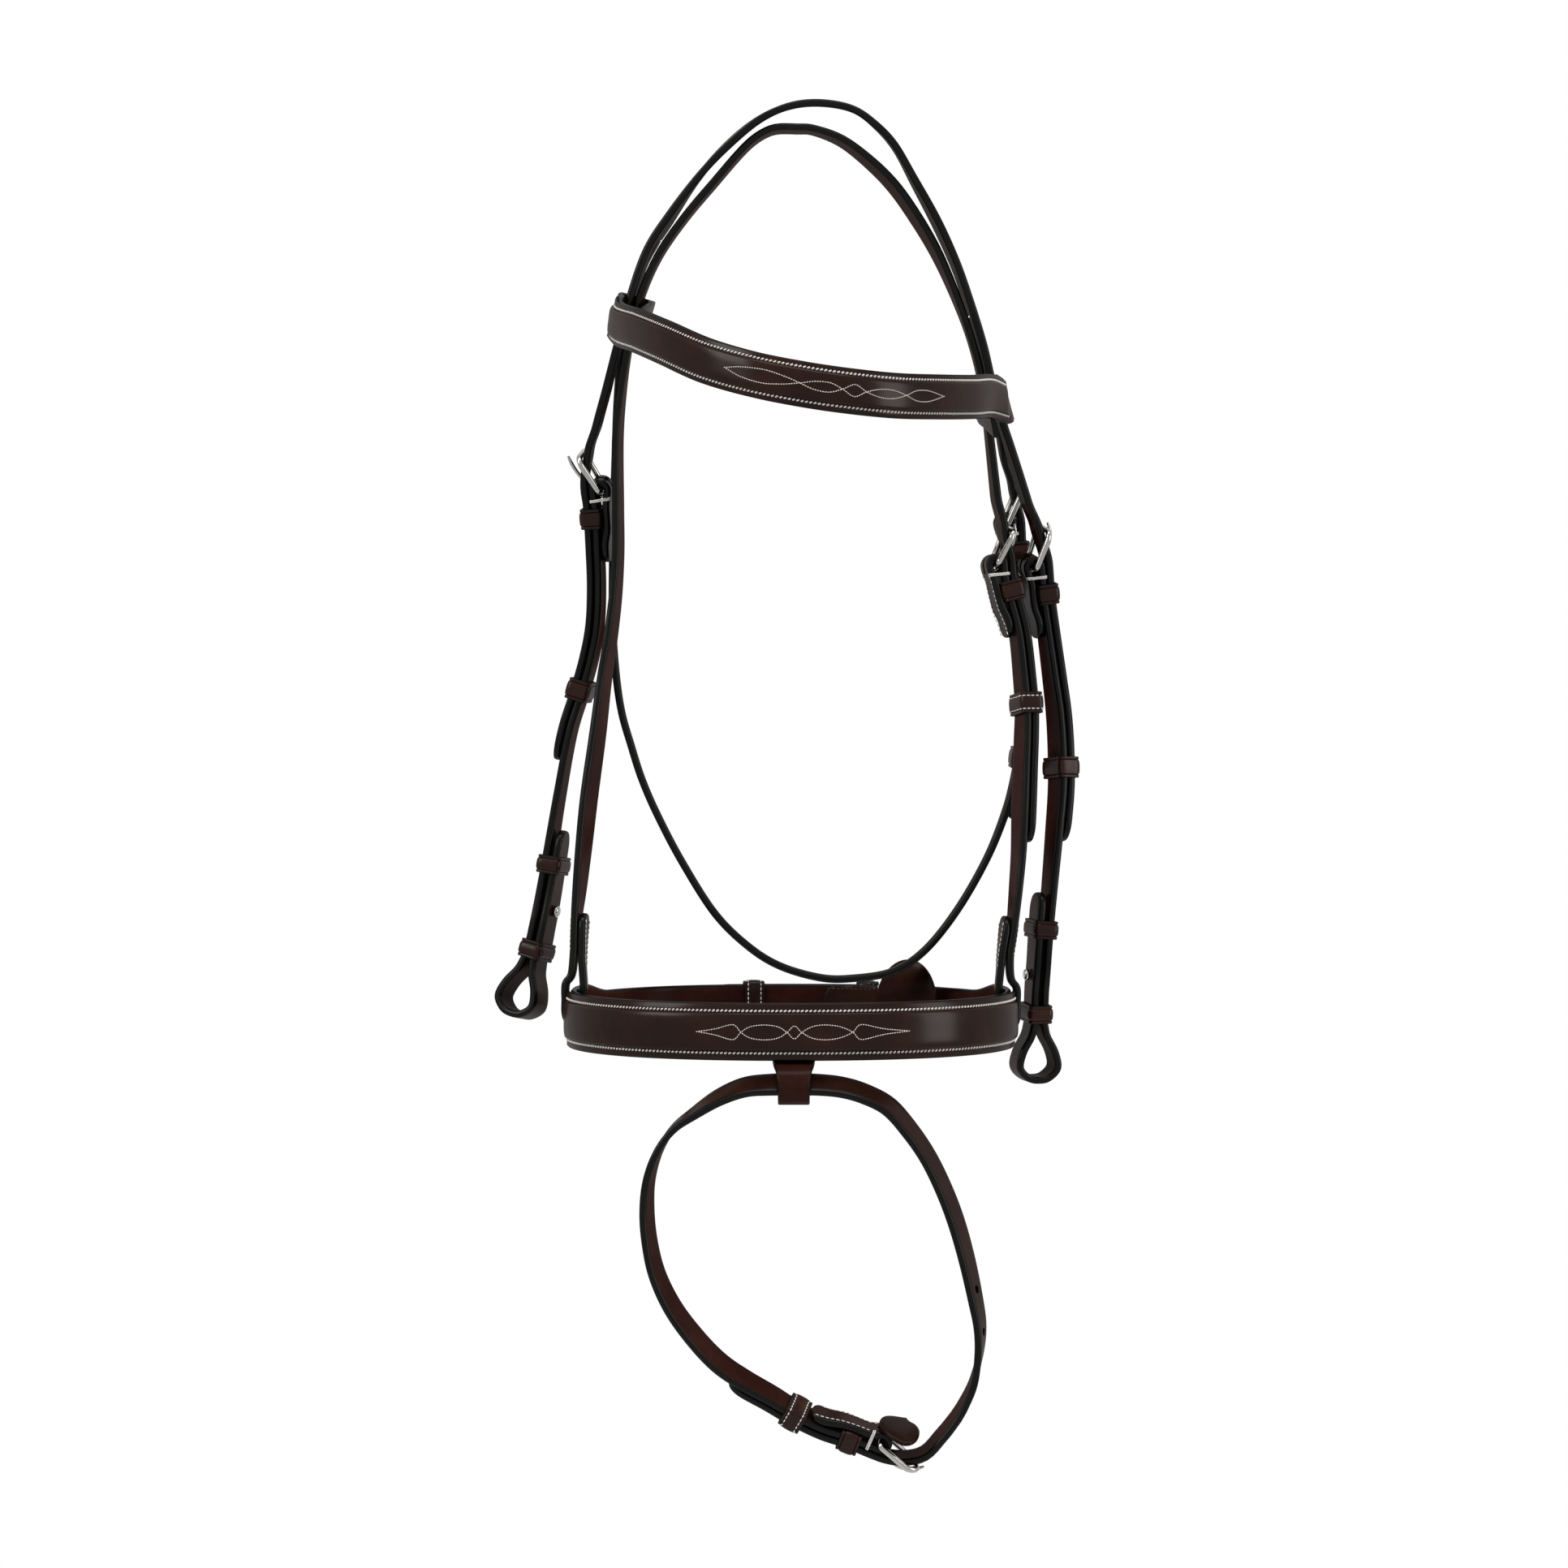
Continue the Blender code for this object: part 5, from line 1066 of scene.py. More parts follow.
def throat_strap():
    strap = throat_seat.strap().chape(throat_seat)
    strap.run(throat_seat.bar, throat_line.length)
    strap.add(throat_line.length, 0, THREADED, THREADED)
    return punch(strap.make("throat_strap"), [eye_slot(throat_seat)])


halves = [billet_half(left_seat, left_fork, FORK_OVERLAP),
          billet_half(right_seat, right_fork, FORK_OVERLAP),
          crown(), throat_strap(), billet_half(throat_seat, 0)]
finished(joined("headpiece_leather", halves), "headpiece")

# %% [markdown]
# ## Cheekpieces
#
# A cheekpiece holds the bit. Its lower end goes round the bit's ring and back up inside
# the strap, where a hook stud catches the hole in the return and two keepers close over
# both layers. The loop is drawn as a few shares of its length and swell, then smoothed.

# %% Lay the cheekpieces
BIT_BACK = STUD_BASE_THICKNESS + CHEEK_THICKNESS + 2 * SLIDE_GAP


def up_return(seat, bit, share=0):
    """A share of the way up the return, from the neck of the bit's loop."""
    return bit + seat.heading * BIT_LOOP_LENGTH + seat.heading * BIT_RETURN_LENGTH * share


def cheekpiece(side, seat, bit):
    strap = seat.strap().chape(seat)
    neck = up_return(seat, bit)
    strap.run(seat.bar, neck)
    for ahead, swell, inner in smooth_line(BIT_LOOP_SHARES, 5):
        strap.add(neck - seat.heading * ahead * BIT_LOOP_LENGTH,
                  swell * BIT_LOOP_SWELL - inner * BIT_BACK)
    top = up_return(seat, bit, 1)
    shoulder = top - seat.heading * CHEEK_WIDTH / 2
    strap.run(neck, shoulder, -BIT_BACK)
    strap.add(shoulder, -BIT_BACK)
    strap.tip(top, seat.heading, -BIT_BACK, CHEEK_WIDTH / 2)
    made = strap.make(side + "_cheekpiece_leather")
    stud_hole = round_punch(cheek_line, up_return(seat, bit, BIT_STUD_SHARE), -BIT_BACK,
                            STUD_STEM_RADIUS + GAP, 2 * STUD_BASE_THICKNESS + CHEEK_THICKNESS)
    return finished(punch(made, [eye_slot(seat), stud_hole]), side + "_cheekpiece")


bit_ends = {"left": (left_seat, cheek_line.nearest(2, LEFT_BIT, *LEFT_HALF)),
            "right": (right_seat, cheek_line.nearest(2, RIGHT_BIT, *RIGHT_HALF))}
for side, (seat, bit) in bit_ends.items():
    cheekpiece(side, seat, bit)

# %% [markdown]
# ## The noseband's headstall
#
# A single strap passes over the poll inside the headpiece and carries the noseband at
# both ends. Each end goes in through a slot in the noseband, round its upper half and up
# again behind itself, where it is stitched down: that doubling is the thick part of the
# strap just above the noseband.

# %% Lay the headstall and its cheekpiece
def nose_level(y):
    """The height of the noseband's middle line, which lifts a little to the rear."""
    return NOSE_LEVEL + NOSE_REAR_LIFT * (y + NOSE_FRONT) / (NOSE_FRONT + NOSE_REAR)


left_hang = headstall_line.nearest(2, nose_level(0), *LEFT_HALF)
right_hang = headstall_line.nearest(2, nose_level(0), *RIGHT_HALF)


def hanger(strap, heading):
    """Lays a loop round the upper half of the noseband, from the end of its doubling."""
    middle = left_hang if heading > 0 else right_hang
    wall = BAND_THICKNESS / 2 + GAP + CHEEK_THICKNESS / 2
    layer = CHEEK_THICKNESS + GAP
    height = NOSE_HEIGHT / 2 + HANGER_NECK
    neck = middle + heading * height
    doubling = neck + heading * HANGER_DOUBLING
    strap.tip(doubling, heading, -layer, CHEEK_WIDTH / 2, SKIVED)
    strap.stations.reverse()
    loop = [(doubling - heading * CHEEK_WIDTH / 2, -layer),
            (neck + heading * HANGER_NECK, -layer)]
    loop += [(middle + heading * ahead * height, out * (wall + HANGER_LOOP_SLACK))
             for ahead, out in HANGER_SHARES]
    loop += [(neck + heading * 2 * HANGER_NECK, 0)]
    for along, out in smooth_line(loop, 6):
        strap.add(along, out)
    return neck + heading * 2 * HANGER_NECK


def headstall_half(heading, until, end, tools, name, node_name):
    """From a hanger to the buckle, where a billet or a chape ends it."""
    strap = nose_cheek_seat.strap()
    strap.run(hanger(strap, heading), until)
    strap.end_with(end)
    return finished(punch(strap.make(name), tools), node_name)


seat = nose_cheek_seat
headstall_half(1, seat.along(2 * FRAME_LENGTH), seat.strap().billet(seat),
               billet_punches(seat), "noseband_headstall_leather", "noseband_headstall")
headstall_half(-1, seat.bar, seat.strap().chape(seat), [eye_slot(seat)],
               "noseband_cheek_leather", "noseband_cheekpiece")

# %% [markdown]
# ## The noseband
#
# The noseband is a flattened oval. Its strap is wide at the front and narrow at the rear,
# where it buckles. On its front lies the raised piece: a cover of thin glazed leather
# pulled over a filler and stitched down beside it, so it swells between two flat margins.
# The swelling is a rule of four sizes, so the cover is made from its section's formula.

# %% Lay the noseband
NOSE_RING_POINTS = 49
NOSE_SPARE_HOLES = 2
SLOT_FULLNESS = 2.5
SLOT_SIDES = 40


def nose_ring():
    """A flattened oval from the right of the buckle all the way round."""
    depth = (NOSE_FRONT + NOSE_REAR) / 2
    middle = (NOSE_REAR - NOSE_FRONT) / 2
    places = []
    for angle in NOSE_START + np.linspace(0, 2 * math.pi, NOSE_RING_POINTS):
        x, y = (math.copysign(abs(f(angle)) ** (2 / NOSE_FLATNESS), f(angle))
                for f in (math.cos, math.sin))
        y = middle + depth * y
        places.append((NOSE_SIDE_OFFSET + NOSE_HALF_WIDTH * x, y, nose_level(y)))
    return Guide(places, [(0, 0, 1)] * len(places))


nose_line = nose_ring()
nose_seat = BuckleSeat(nose_line, nose_line.nearest(0, NOSE_BAR, *LEFT_HALF), -1, REAR_WIDTH,
                       BAND_THICKNESS, NOSE_RUNNER, NOSE_TAIL)
nose_left = nose_line.nearest(1, 0, 0.2, 0.6)
nose_right = nose_line.nearest(1, 0, 0.6, 1)


def eased_share(value):
    """A smooth step from 0 to 1."""
    value = min(1, max(0, value))
    return value * value * (3 - 2 * value)


def noseband_strap():
    wide = NOSE_HEIGHT / REAR_WIDTH
    taper = 2 * NOSE_HEIGHT
    strap = nose_seat.strap().chape(nose_seat)
    for along in spaced(nose_seat.bar, nose_line.length)[1:-1]:
        inside = min(along - (nose_left - taper), nose_right + taper - along)
        strap.add(along, 0, 1 + (wide - 1) * eased_share(inside / (taper / 2)))
    strap.end_with(nose_seat.strap().billet(nose_seat, 0))
    tools = [eye_slot(nose_seat)] + billet_punches(nose_seat, NOSE_SPARE_HOLES)
    for along in (nose_left, nose_right):
        tools.append(oval_punch(nose_line, along, -SLOT_DROP, 0, SLOT_LENGTH, SLOT_HEIGHT,
                                4 * BAND_THICKNESS, SLOT_FULLNESS, SLOT_SIDES))
    return finished(punch(strap.make("noseband_leather"), tools), "noseband_strap")


noseband_strap()

# %% Raise a cover over its filler
COVER_COLUMNS = 27
COVER_SQUARENESS = 4
COVER_RAMP = 7 * MM
COVER_RAMP_SHARE = 0.1
NOSE_MARGIN = 4.4 * MM
BROW_MARGIN = 3.5 * MM


class Cover:
    """A raised face: flat margins for the stitching and a swelling between them."""

    def __init__(self, guide, start, end, half_width, out, rise, thickness, margin):
        self.guide = guide
        self.start = start
        self.end = end
        self.half_width = half_width
        self.out = out
        self.rise = rise
        self.thickness = thickness
        self.crest = half_width - margin

    def height(self, along, across):
        """How far out the top of the cover is."""
        share = min(1, abs(across) / self.crest)
        swell = (1 - share**COVER_SQUARENESS) ** (1 / COVER_SQUARENESS)
        ends = eased_share(min(along - self.start, self.end - along) / COVER_RAMP
                           - COVER_RAMP_SHARE)
        return self.out + self.thickness / 2 + self.rise * swell * ends

    def surface(self, along, across, above=0):
        """A place on the cover's top, with the way that it faces."""
        step = GAP / 3
        place = self.guide.place(along, across, self.height(along, across) + above)
        aside = self.guide.place(along, across + step, self.height(along, across + step))
        back = self.guide.place(along, across - step, self.height(along, across - step))
        tangent = self.guide.frame(along)[1]
        return place, unit(np.cross(tangent, aside - back))

    def make(self, name):
        half, radius = self.half_width, self.thickness / 3
        high, low = self.out + self.thickness / 2, self.out - self.thickness / 2
        inner = [self.crest * math.sin(a) for a in
                 np.linspace(-math.pi / 2, math.pi / 2, COVER_COLUMNS)]
        top = [-half + radius] + inner + [half - radius]
        foot = [(half, high - radius), (half, low + radius), (half - radius, low),
                (radius - half, low), (-half, low + radius), (-half, high - radius)]
        rings, rims = [], []
        for along in spaced(self.start, self.end):
            ring = [(across, self.height(along, across)) for across in top] + foot
            rings.append([self.guide.place(along, across, out) for across, out in ring])
            rims.append([half - abs(across) for across, _ in ring])
        kinds = [GRAIN] * (len(top) - 1) + [EDGE] * (len(foot) + 1)
        return skin(name, rings, rims, kinds, RAISED_LOOKS)


nose_face = BAND_THICKNESS / 2 + GAP
nose_cover = Cover(nose_line, nose_left + COVER_END, nose_right - COVER_END, NOSE_HEIGHT / 2,
                   nose_face + COVER_THICKNESS / 2, FILLER_THICKNESS + GAP, COVER_THICKNESS,
                   NOSE_MARGIN)
raised_noseband = finished(nose_cover.make("noseband_raised_leather"), "noseband_front",
                           "noseband_filler")

# %% [markdown]
# ## The browband
#
# The browband lies across the forehead and ends in two loops that the headpiece and the
# headstall pass through together. It is backed, filled and covered as the noseband is,
# but thinner. Its strap turns edge on as it leaves each loop, so its route carries a
# direction across at each point rather than one twist for the whole.

# %% Lay the browband
def arc(centre, radius, start, end, count):
    angles = np.radians(np.linspace(start, end, count))
    return [(centre[0] + radius * math.cos(a), centre[1] + radius * math.sin(a))
            for a in angles]


def brow_loop(brow, heading):
    """Places of one end of the browband, from the tip of its return to its outer face."""
    slack = BROW_LOOP_SLACK + BROW_THICKNESS / 2
    inner = -(CHEEK_THICKNESS * 1.5 + BROW_HEADSTALL_GAP + slack)
    outer = CHEEK_THICKNESS / 2 + slack
    front = -CHEEK_WIDTH / 2
    rear = (CHEEK_WIDTH / 2 + CROWN_SLIT + THROAT_WIDTH + BROW_REAR_SLACK
            + BROW_THICKNESS / 2)
    bend = BROW_LOOP_BEND
    rows = [(BROW_RETURN_DROP, front - BROW_RETURN, inner + BROW_RETURN_LEAN),
            (BROW_RETURN_DROP / 2, front - BROW_RETURN / 2,
             inner + BROW_RETURN_LEAN * BROW_LEAN_SHARE),
            (BROW_RETURN_DROP / 5, front, inner), (0, 0, inner), (0, rear - 2 * bend, inner)]
    turn = BROW_BEND_DEGREES
    rows += [(0, a, o) for a, o in arc((rear - bend, inner + bend), bend, -turn, 0, 4)]
    rows += [(0, a, o) for a, o in arc((rear - bend, outer - bend), bend, 0, turn, 4)]
    rows += [(0, rear - 2 * bend, outer), (0, 0, outer), (BROW_RETURN_DROP / 7, front, outer),
             (BROW_RETURN_DROP / 3, front - BROW_RETURN / 3, outer - BROW_RETURN_LEAN / 2)]
    _, tangent, _, _ = cheek_line.frame(brow)
    places = [cheek_line.place(brow, side, out) - tangent * down * heading
              for down, side, out in rows]
    return places, [tangent * heading] * len(places)


def brow_route():
    left_places, left_across = brow_loop(brow_left, 1)
    right_places, right_across = brow_loop(brow_right, -1)
    span = sized(BROWBAND_SHARES)
    across = left_across + [np.array((0, 0, 1.0))] * len(span) + right_across[::-1]
    return Guide(left_places + span + right_places[::-1], across)


brow_line = brow_route()


def browband_backing():
    strap = Strap(brow_line, BROW_HEIGHT, BROW_THICKNESS)
    loop = BROW_LOOP_HEIGHT / BROW_HEIGHT
    for along in spaced(0, brow_line.length, 2 * MM):
        inside = min(along, brow_line.length - along) - BROW_LOOP_RUN + BROW_HEIGHT
        share = min(1, max(0, inside / BROW_HEIGHT))
        strap.add(along, 0, loop + (1 - loop) * share)
    return finished(strap.make("browband_leather"), "browband_backing")


browband_backing()
brow_face = BROW_THICKNESS / 2 + SLIDE_GAP
brow_cover = Cover(brow_line, BROW_LOOP_RUN, brow_line.length - BROW_LOOP_RUN,
                   BROW_HEIGHT / 2, brow_face + BROW_COVER / 2, BROW_FILLER + GAP, BROW_COVER,
                   BROW_MARGIN)
raised_browband = finished(brow_cover.make("browband_raised_leather"), "browband_front",
                           "browband_filler")

# %% [markdown]
# ## The flash strap and its tab
#
# The flash is a second, lower strap that goes round the muzzle in front of the bit. It
# hangs in a tab sewn to the back of the noseband, and buckles under the chin.

# %% Lay the flash strap
FLASH_SHOWN_HOLES = 3


def tab_axis():
    """The middle of the tab's loop, where the flash strap passes under the noseband."""
    return np.array((TAB_PLACE, -NOSE_FRONT - FLASH_FORWARD, NOSE_LEVEL - TAB_DROP))


def flash_route():
    axis = tab_axis()
    places = [axis + (x * FLASH_HALF_WIDTH, 0, z * FLASH_DROP) for x, z, _ in FLASH_SHARES]
    return guide_through(places, [twist for _, _, twist in FLASH_SHARES])


flash_line = flash_route()
flash_seat = BuckleSeat(flash_line, flash_line.nearest(0, FLASH_BAR, 0, 0.3), -1, FLASH_WIDTH,
                        FLASH_THICKNESS, FLASH_RUNNER, FLASH_TAIL)


def flash_strap():
    strap = flash_seat.strap().chape(flash_seat)
    strap.run(flash_seat.bar, flash_line.length)
    strap.end_with(flash_seat.strap().billet(flash_seat, 0))
    tools = [eye_slot(flash_seat)] + billet_punches(flash_seat, 1)
    for i in range(FLASH_SHOWN_HOLES):
        tools.append(round_punch(flash_line, flash_line.length - HOLE_PITCH * (i + 1), 0,
                                 HOLE_RADIUS, 4 * FLASH_THICKNESS))
    return finished(punch(strap.make("flash_strap_leather"), tools), "flash_strap")


def flash_tab():
    axis = tab_axis()
    radius = TAB_BORE_RADIUS + TAB_THICKNESS / 2
    back = BAND_THICKNESS / 2 + SLIDE_GAP + TAB_THICKNESS / 2 - NOSE_FRONT + TAB_SEAT
    second = back + TAB_THICKNESS + GAP
    edge = NOSE_LEVEL - NOSE_HEIGHT / 2
    turn = [(axis[1] + y, axis[2] + z) for y, z in
            arc((0, 0), radius, *TAB_TURN_DEGREES, TAB_TURN_POINTS)]
    path = ([(back, edge + TAB_STITCHED), (back, edge + TAB_STITCHED / 2),
             (back, edge - TAB_THICKNESS / 5)] + turn
            + [(second, edge), (second, edge + TAB_STITCHED / 2),
               (second, edge + TAB_STITCHED)])
    rows = []
    for i, (y, z) in enumerate(path):
        wide = max(0, 1 - abs(i - 2) / 4) if i > 2 else 1
        rows.append((y, z, (TAB_WIDTH + (TAB_TOP_WIDTH - TAB_WIDTH) * wide) / 2))
    laid = [(np.array((axis[0], y, z)), np.array((-1.0, 0, 0)), half, TAB_THICKNESS / 2)
            for y, z, half in smooth_line(rows, 5)]
    return finished(band("flash_tab_leather", laid, KEEPER_LOOKS), "flash_tab")


flash_strap()
flash_tab()

# %% [markdown]
# ## Keepers and runners
#
# A keeper is a narrow loop of leather round a stack of straps: fixed ones sit beside each
# buckle, and runners slide on the billet. Their walls are a rolled ribbon bent round a
# rounded rectangle, so a ring of small ribbon sections is skinned as one closed loop.

# %% Bend the keepers
KEEPER_CORNER_STEPS = 7
KEEPER_SIDE_STEPS = 5
KEEPER_CREASE = 1.6 * MM
KEEPER_CREASE_WIDTH = 0.35 * MM
KEEPER_CREASE_DEPTH = 0.35 * MM
KEEPER_CROWN = 0.5 * MM
KEEPER_CROWN_SHARES = (0.4, 0.9)
KEEPER_THINNING = 0.85
RUNNER_SLACK = 0.45 * MM


def rounded_outline(half_wide, low, high, radius):
    """Places round a rounded rectangle."""
    corners = ((half_wide - radius, high - radius), (radius - half_wide, high - radius),
               (radius - half_wide, low + radius), (half_wide - radius, low + radius))
    found = []
    for turn, (x, y) in enumerate(corners):
        for angle in np.linspace(turn, turn + 1, KEEPER_CORNER_STEPS) * math.pi / 2:
            found.append((x + radius * math.cos(angle), y + radius * math.sin(angle)))
        ahead = corners[(turn + 1) % 4]
        facing = ((turn + 1) * math.pi / 2)
        push = np.array((math.cos(facing), math.sin(facing))) * radius
        for share in np.linspace(0, 1, KEEPER_SIDE_STEPS + 1)[1:-1]:
            found.append((x + (ahead[0] - x) * share + push[0],
                          y + (ahead[1] - y) * share + push[1]))
    return found


def keeper_section(half_width, half_thickness):
    """A strap's section with a crowned outer face and a line pressed beside each rim."""
    points, _, kinds = strap_section(half_width, half_thickness)
    line = half_width - KEEPER_CREASE
    low, high = KEEPER_CROWN_SHARES
    half = [(line + KEEPER_CREASE_WIDTH, half_thickness),
            (line, half_thickness - KEEPER_CREASE_DEPTH),
            (line - KEEPER_CREASE_WIDTH, half_thickness + KEEPER_CROWN * low),
            (line / 2, half_thickness + KEEPER_CROWN * high)]
    outer = half + [(0, half_thickness + KEEPER_CROWN)]
    outer += [(-across, out) for across, out in reversed(half)]
    first = kinds.index(GRAIN) + 1
    points[first:first + 2] = outer
    kinds[first:first + 1] = [GRAIN] * (len(outer) - 1)
    return points, [half_width - abs(across) for across, _ in points], kinds


def ring_round(guide, along, half_width, out_low, out_high):
    """The way through a ring that holds a stack, and places with outward ways round it."""
    wall = KEEPER_WALL / 2
    point, tangent, across, face = guide.frame(along)
    outline = rounded_outline(half_width + SLIDE_GAP + wall, out_low - wall, out_high + wall,
                              KEEPER_ROUND)
    found = []
    for i, here in enumerate(outline):
        flat = unit(np.array(outline[(i + 1) % len(outline)]) - np.array(outline[i - 1]))
        found.append((point + across * here[0] + face * here[1],
                      across * flat[1] - face * flat[0]))
    return tangent, found


def runner_ring(seat):
    half = seat.thickness / 2
    return ring_round(seat.guide, seat.along(-seat.runner), seat.width / 2,
                      -half - SLIDE_GAP - RUNNER_SLACK, seat.layer + half + SLIDE_GAP)


def keeper(name, ring, width):
    tangent, places = ring
    points, rim, kinds = keeper_section(width / 2, KEEPER_WALL / 2 * KEEPER_THINNING)
    rings = [[place + tangent * a + outward * out for a, out in points]
             for place, outward in places]
    made = skin(name + "_leather", rings, [rim] * len(rings), kinds, KEEPER_LOOKS, closed=True)
    return finished(made, name)


buckles = {"left_cheek": left_seat, "right_cheek": right_seat, "throatlatch": throat_seat,
           "noseband_cheek": nose_cheek_seat, "noseband": nose_seat, "flash": flash_seat}
for prefix, seat in buckles.items():
    half = seat.thickness / 2
    fixed = ring_round(seat.guide, seat.along(-KEEPER_FROM_BAR - KEEPER_WIDTH / 2),
                       seat.width / 2, -half - GAP, seat.layer + half + SLIDE_GAP)
    keeper(prefix + "_keeper", fixed, KEEPER_WIDTH)
    keeper(prefix + "_runner", runner_ring(seat), RUNNER_WIDTH)
for side, (seat, bit) in bit_ends.items():
    for word, share in zip(("upper", "lower"), BIT_KEEPER_SHARES):
        fixed = ring_round(cheek_line, up_return(seat, bit, share), CHEEK_WIDTH / 2,
                           -BIT_BACK - CHEEK_THICKNESS / 2 - SLIDE_GAP,
                           CHEEK_THICKNESS / 2 + SLIDE_GAP)
        keeper(f"{side}_bit_keeper_{word}", fixed, BIT_KEEPER_WIDTH)

# %% [markdown]
# ## Buckles, tongues and hook studs
#
# The frames are bent from round wire, so a bevelled curve is the natural tool: its route
# is the same rounded rectangle as the model's, with more points round each corner. The
# tongue is a second wire, its eye bent round the heel bar and its end drawn to a blunt
# point. The hook studs are turned, so each is a profile swept round its axis.

# %% Bend the wire
WIRE_SIDES = 5
CORNER_POINTS = 9
TONGUE_EYE_POINTS = 22
TONGUE_FLARE = 4 * MM
TONGUE_CURL = 1.5
TONGUE_POINT_SHARE = 0.55
TONGUE_POINT_STEPS = 6
TONGUE_POINT_ROUNDNESS = 0.6


def dressed(name, mesh, look):
    mesh.materials.append(look)
    smooth(mesh)
    return linked(name, mesh)


def wire(name, places, radii, closed=False, look=steel):
    """Round wire or thread along places, with its radius at each."""
    curve = bpy.data.curves.new(name, "CURVE")
    curve.dimensions = "3D"
    curve.bevel_depth = 1
    curve.bevel_resolution = WIRE_SIDES
    curve.use_fill_caps = True
    spline = curve.splines.new("POLY")
    spline.points.add(len(places) - 1)
    for point, place, radius in zip(spline.points, places, radii):
        point.co = (*place, 1)
        point.radius = radius
    spline.use_cyclic_u = closed
    made = linked(name, curve)
    graph = bpy.context.evaluated_depsgraph_get()
    mesh = bpy.data.meshes.new_from_object(made.evaluated_get(graph))
    bpy.data.objects.remove(made)
    return dressed(name, mesh, look)


def buckle_frame(name, seat):
    side = seat.width / 2 + FRAME_SIDE_GAP + WIRE_RADIUS
    slope = math.hypot(FRAME_LENGTH, FRAME_RISE)
    corners = ((slope - FRAME_CORNER, side - FRAME_CORNER, 0, FRAME_CORNER),
               (WIRE_RADIUS, side - WIRE_RADIUS, 90, WIRE_RADIUS),
               (WIRE_RADIUS, WIRE_RADIUS - side, 180, WIRE_RADIUS),
               (slope - FRAME_CORNER, FRAME_CORNER - side, 270, FRAME_CORNER))
    places = []
    for middle, side, start, radius in corners:
        for ahead, across in arc((middle, side), radius, start, start + 90, CORNER_POINTS):
            places.append(seat.place(ahead * FRAME_LENGTH / slope, across,
                                     seat.bar_out + ahead * FRAME_RISE / slope))
    made = wire(name + "_steel", places, [WIRE_RADIUS] * len(places), closed=True)
    return finished(made, name, finish=STEEL_SLOT)


def tongue(name, seat, flare=0):
    """A tongue over its frame, whose point curls out by the flare."""
    reach = FRAME_LENGTH + TONGUE_OVERHANG - flare
    climb = seat.tongue_out - seat.bar_out
    eye = arc((0, 0), seat.eye_radius, *TONGUE_EYE_DEGREES, TONGUE_EYE_POINTS)
    shank = smooth_line([(reach * share, climb * rise) for share, rise in TONGUE_SHARES]
                        + [eye[0]], 6)[:-1]
    places, radii = [], []
    for i, (ahead, out) in enumerate(list(shank) + list(eye)):
        curl = flare * max(0, ahead / reach * 2 - 1) ** TONGUE_CURL
        places.append(seat.place(ahead, 0, seat.bar_out + out + curl))
        full = min(1, i / TONGUE_POINT_STEPS) ** TONGUE_POINT_ROUNDNESS
        radii.append(TONGUE_RADIUS * (TONGUE_POINT_SHARE + (1 - TONGUE_POINT_SHARE) * full))
    return finished(wire(name + "_steel", places, radii), name, finish=STEEL_SLOT)


for prefix, seat in buckles.items():
    buckle_frame(prefix + "_buckle", seat)
    tongue(prefix + "_tongue", seat, TONGUE_FLARE if prefix == "left_cheek" else 0)

# %% Turn the hook studs
STUD_SEGMENTS = 32


def stud(side, seat, bit):
    along = up_return(seat, bit, BIT_STUD_SHARE)
    _, tangent, _, face = cheek_line.frame(along)
    place = cheek_line.place(along, 0, -CHEEK_THICKNESS / 2 - SLIDE_GAP)
    stem = BIT_BACK + STUD_HEAD_GAP - SLIDE_GAP
    corner = STUD_BASE_THICKNESS / 3
    crown = STUD_HEAD_RADIUS * STUD_CROWN_SHARE
    profile = [(0, 0), (STUD_BASE_RADIUS - corner, 0), (STUD_BASE_RADIUS, -corner),
               (STUD_BASE_RADIUS, -STUD_BASE_THICKNESS + corner),
               (STUD_BASE_RADIUS - corner, -STUD_BASE_THICKNESS),
               (STUD_STEM_RADIUS, -STUD_BASE_THICKNESS), (STUD_STEM_RADIUS, -stem),
               (STUD_HEAD_RADIUS - corner, -stem), (STUD_HEAD_RADIUS, -stem - corner),
               (STUD_HEAD_RADIUS, -stem - STUD_HEAD_HEIGHT / 2)]
    profile += [(crown + (STUD_HEAD_RADIUS - crown) * math.cos(a),
                 -stem - STUD_HEAD_HEIGHT / 2 * (1 + math.sin(a)))
                for a in np.linspace(0, math.pi / 2, 6)[1:]]
    profile.append((0, -stem - STUD_HEAD_HEIGHT))
    bm = bmesh.new()
    verts = [bm.verts.new((radius, 0, height)) for radius, height in profile]
    edges = [bm.edges.new(pair) for pair in zip(verts, verts[1:])]
    bmesh.ops.spin(bm, geom=verts + edges, cent=(0, 0, 0), axis=(0, 0, 1),
                   angle=2 * math.pi, steps=STUD_SEGMENTS)
    bmesh.ops.remove_doubles(bm, verts=bm.verts, dist=MM / 1000)
    turn = np.array([np.cross(tangent, face), tangent, face])
    for vertex in bm.verts:
        vertex.co = place + np.array(vertex.co) @ turn
    made = dressed(side + "_bit_stud_steel", mesh_from(bm, "stud"), steel)
    return finished(made, side + "_bit_stud", finish=STEEL_SLOT)


for side, (seat, bit) in bit_ends.items():
    stud(side, seat, bit)

# %% [markdown]
# ## Chin pads
#
# A soft oval of leather, stuffed and sewn round its edge, lies behind each chin buckle to
# keep the steel off the jaw. It is a dome between two close faces: a swollen disc whose
# rim is pinched flat for the stitches.

# %% Stuff the chin pads
PAD_RINGS = 14
PAD_SPOKES = 56


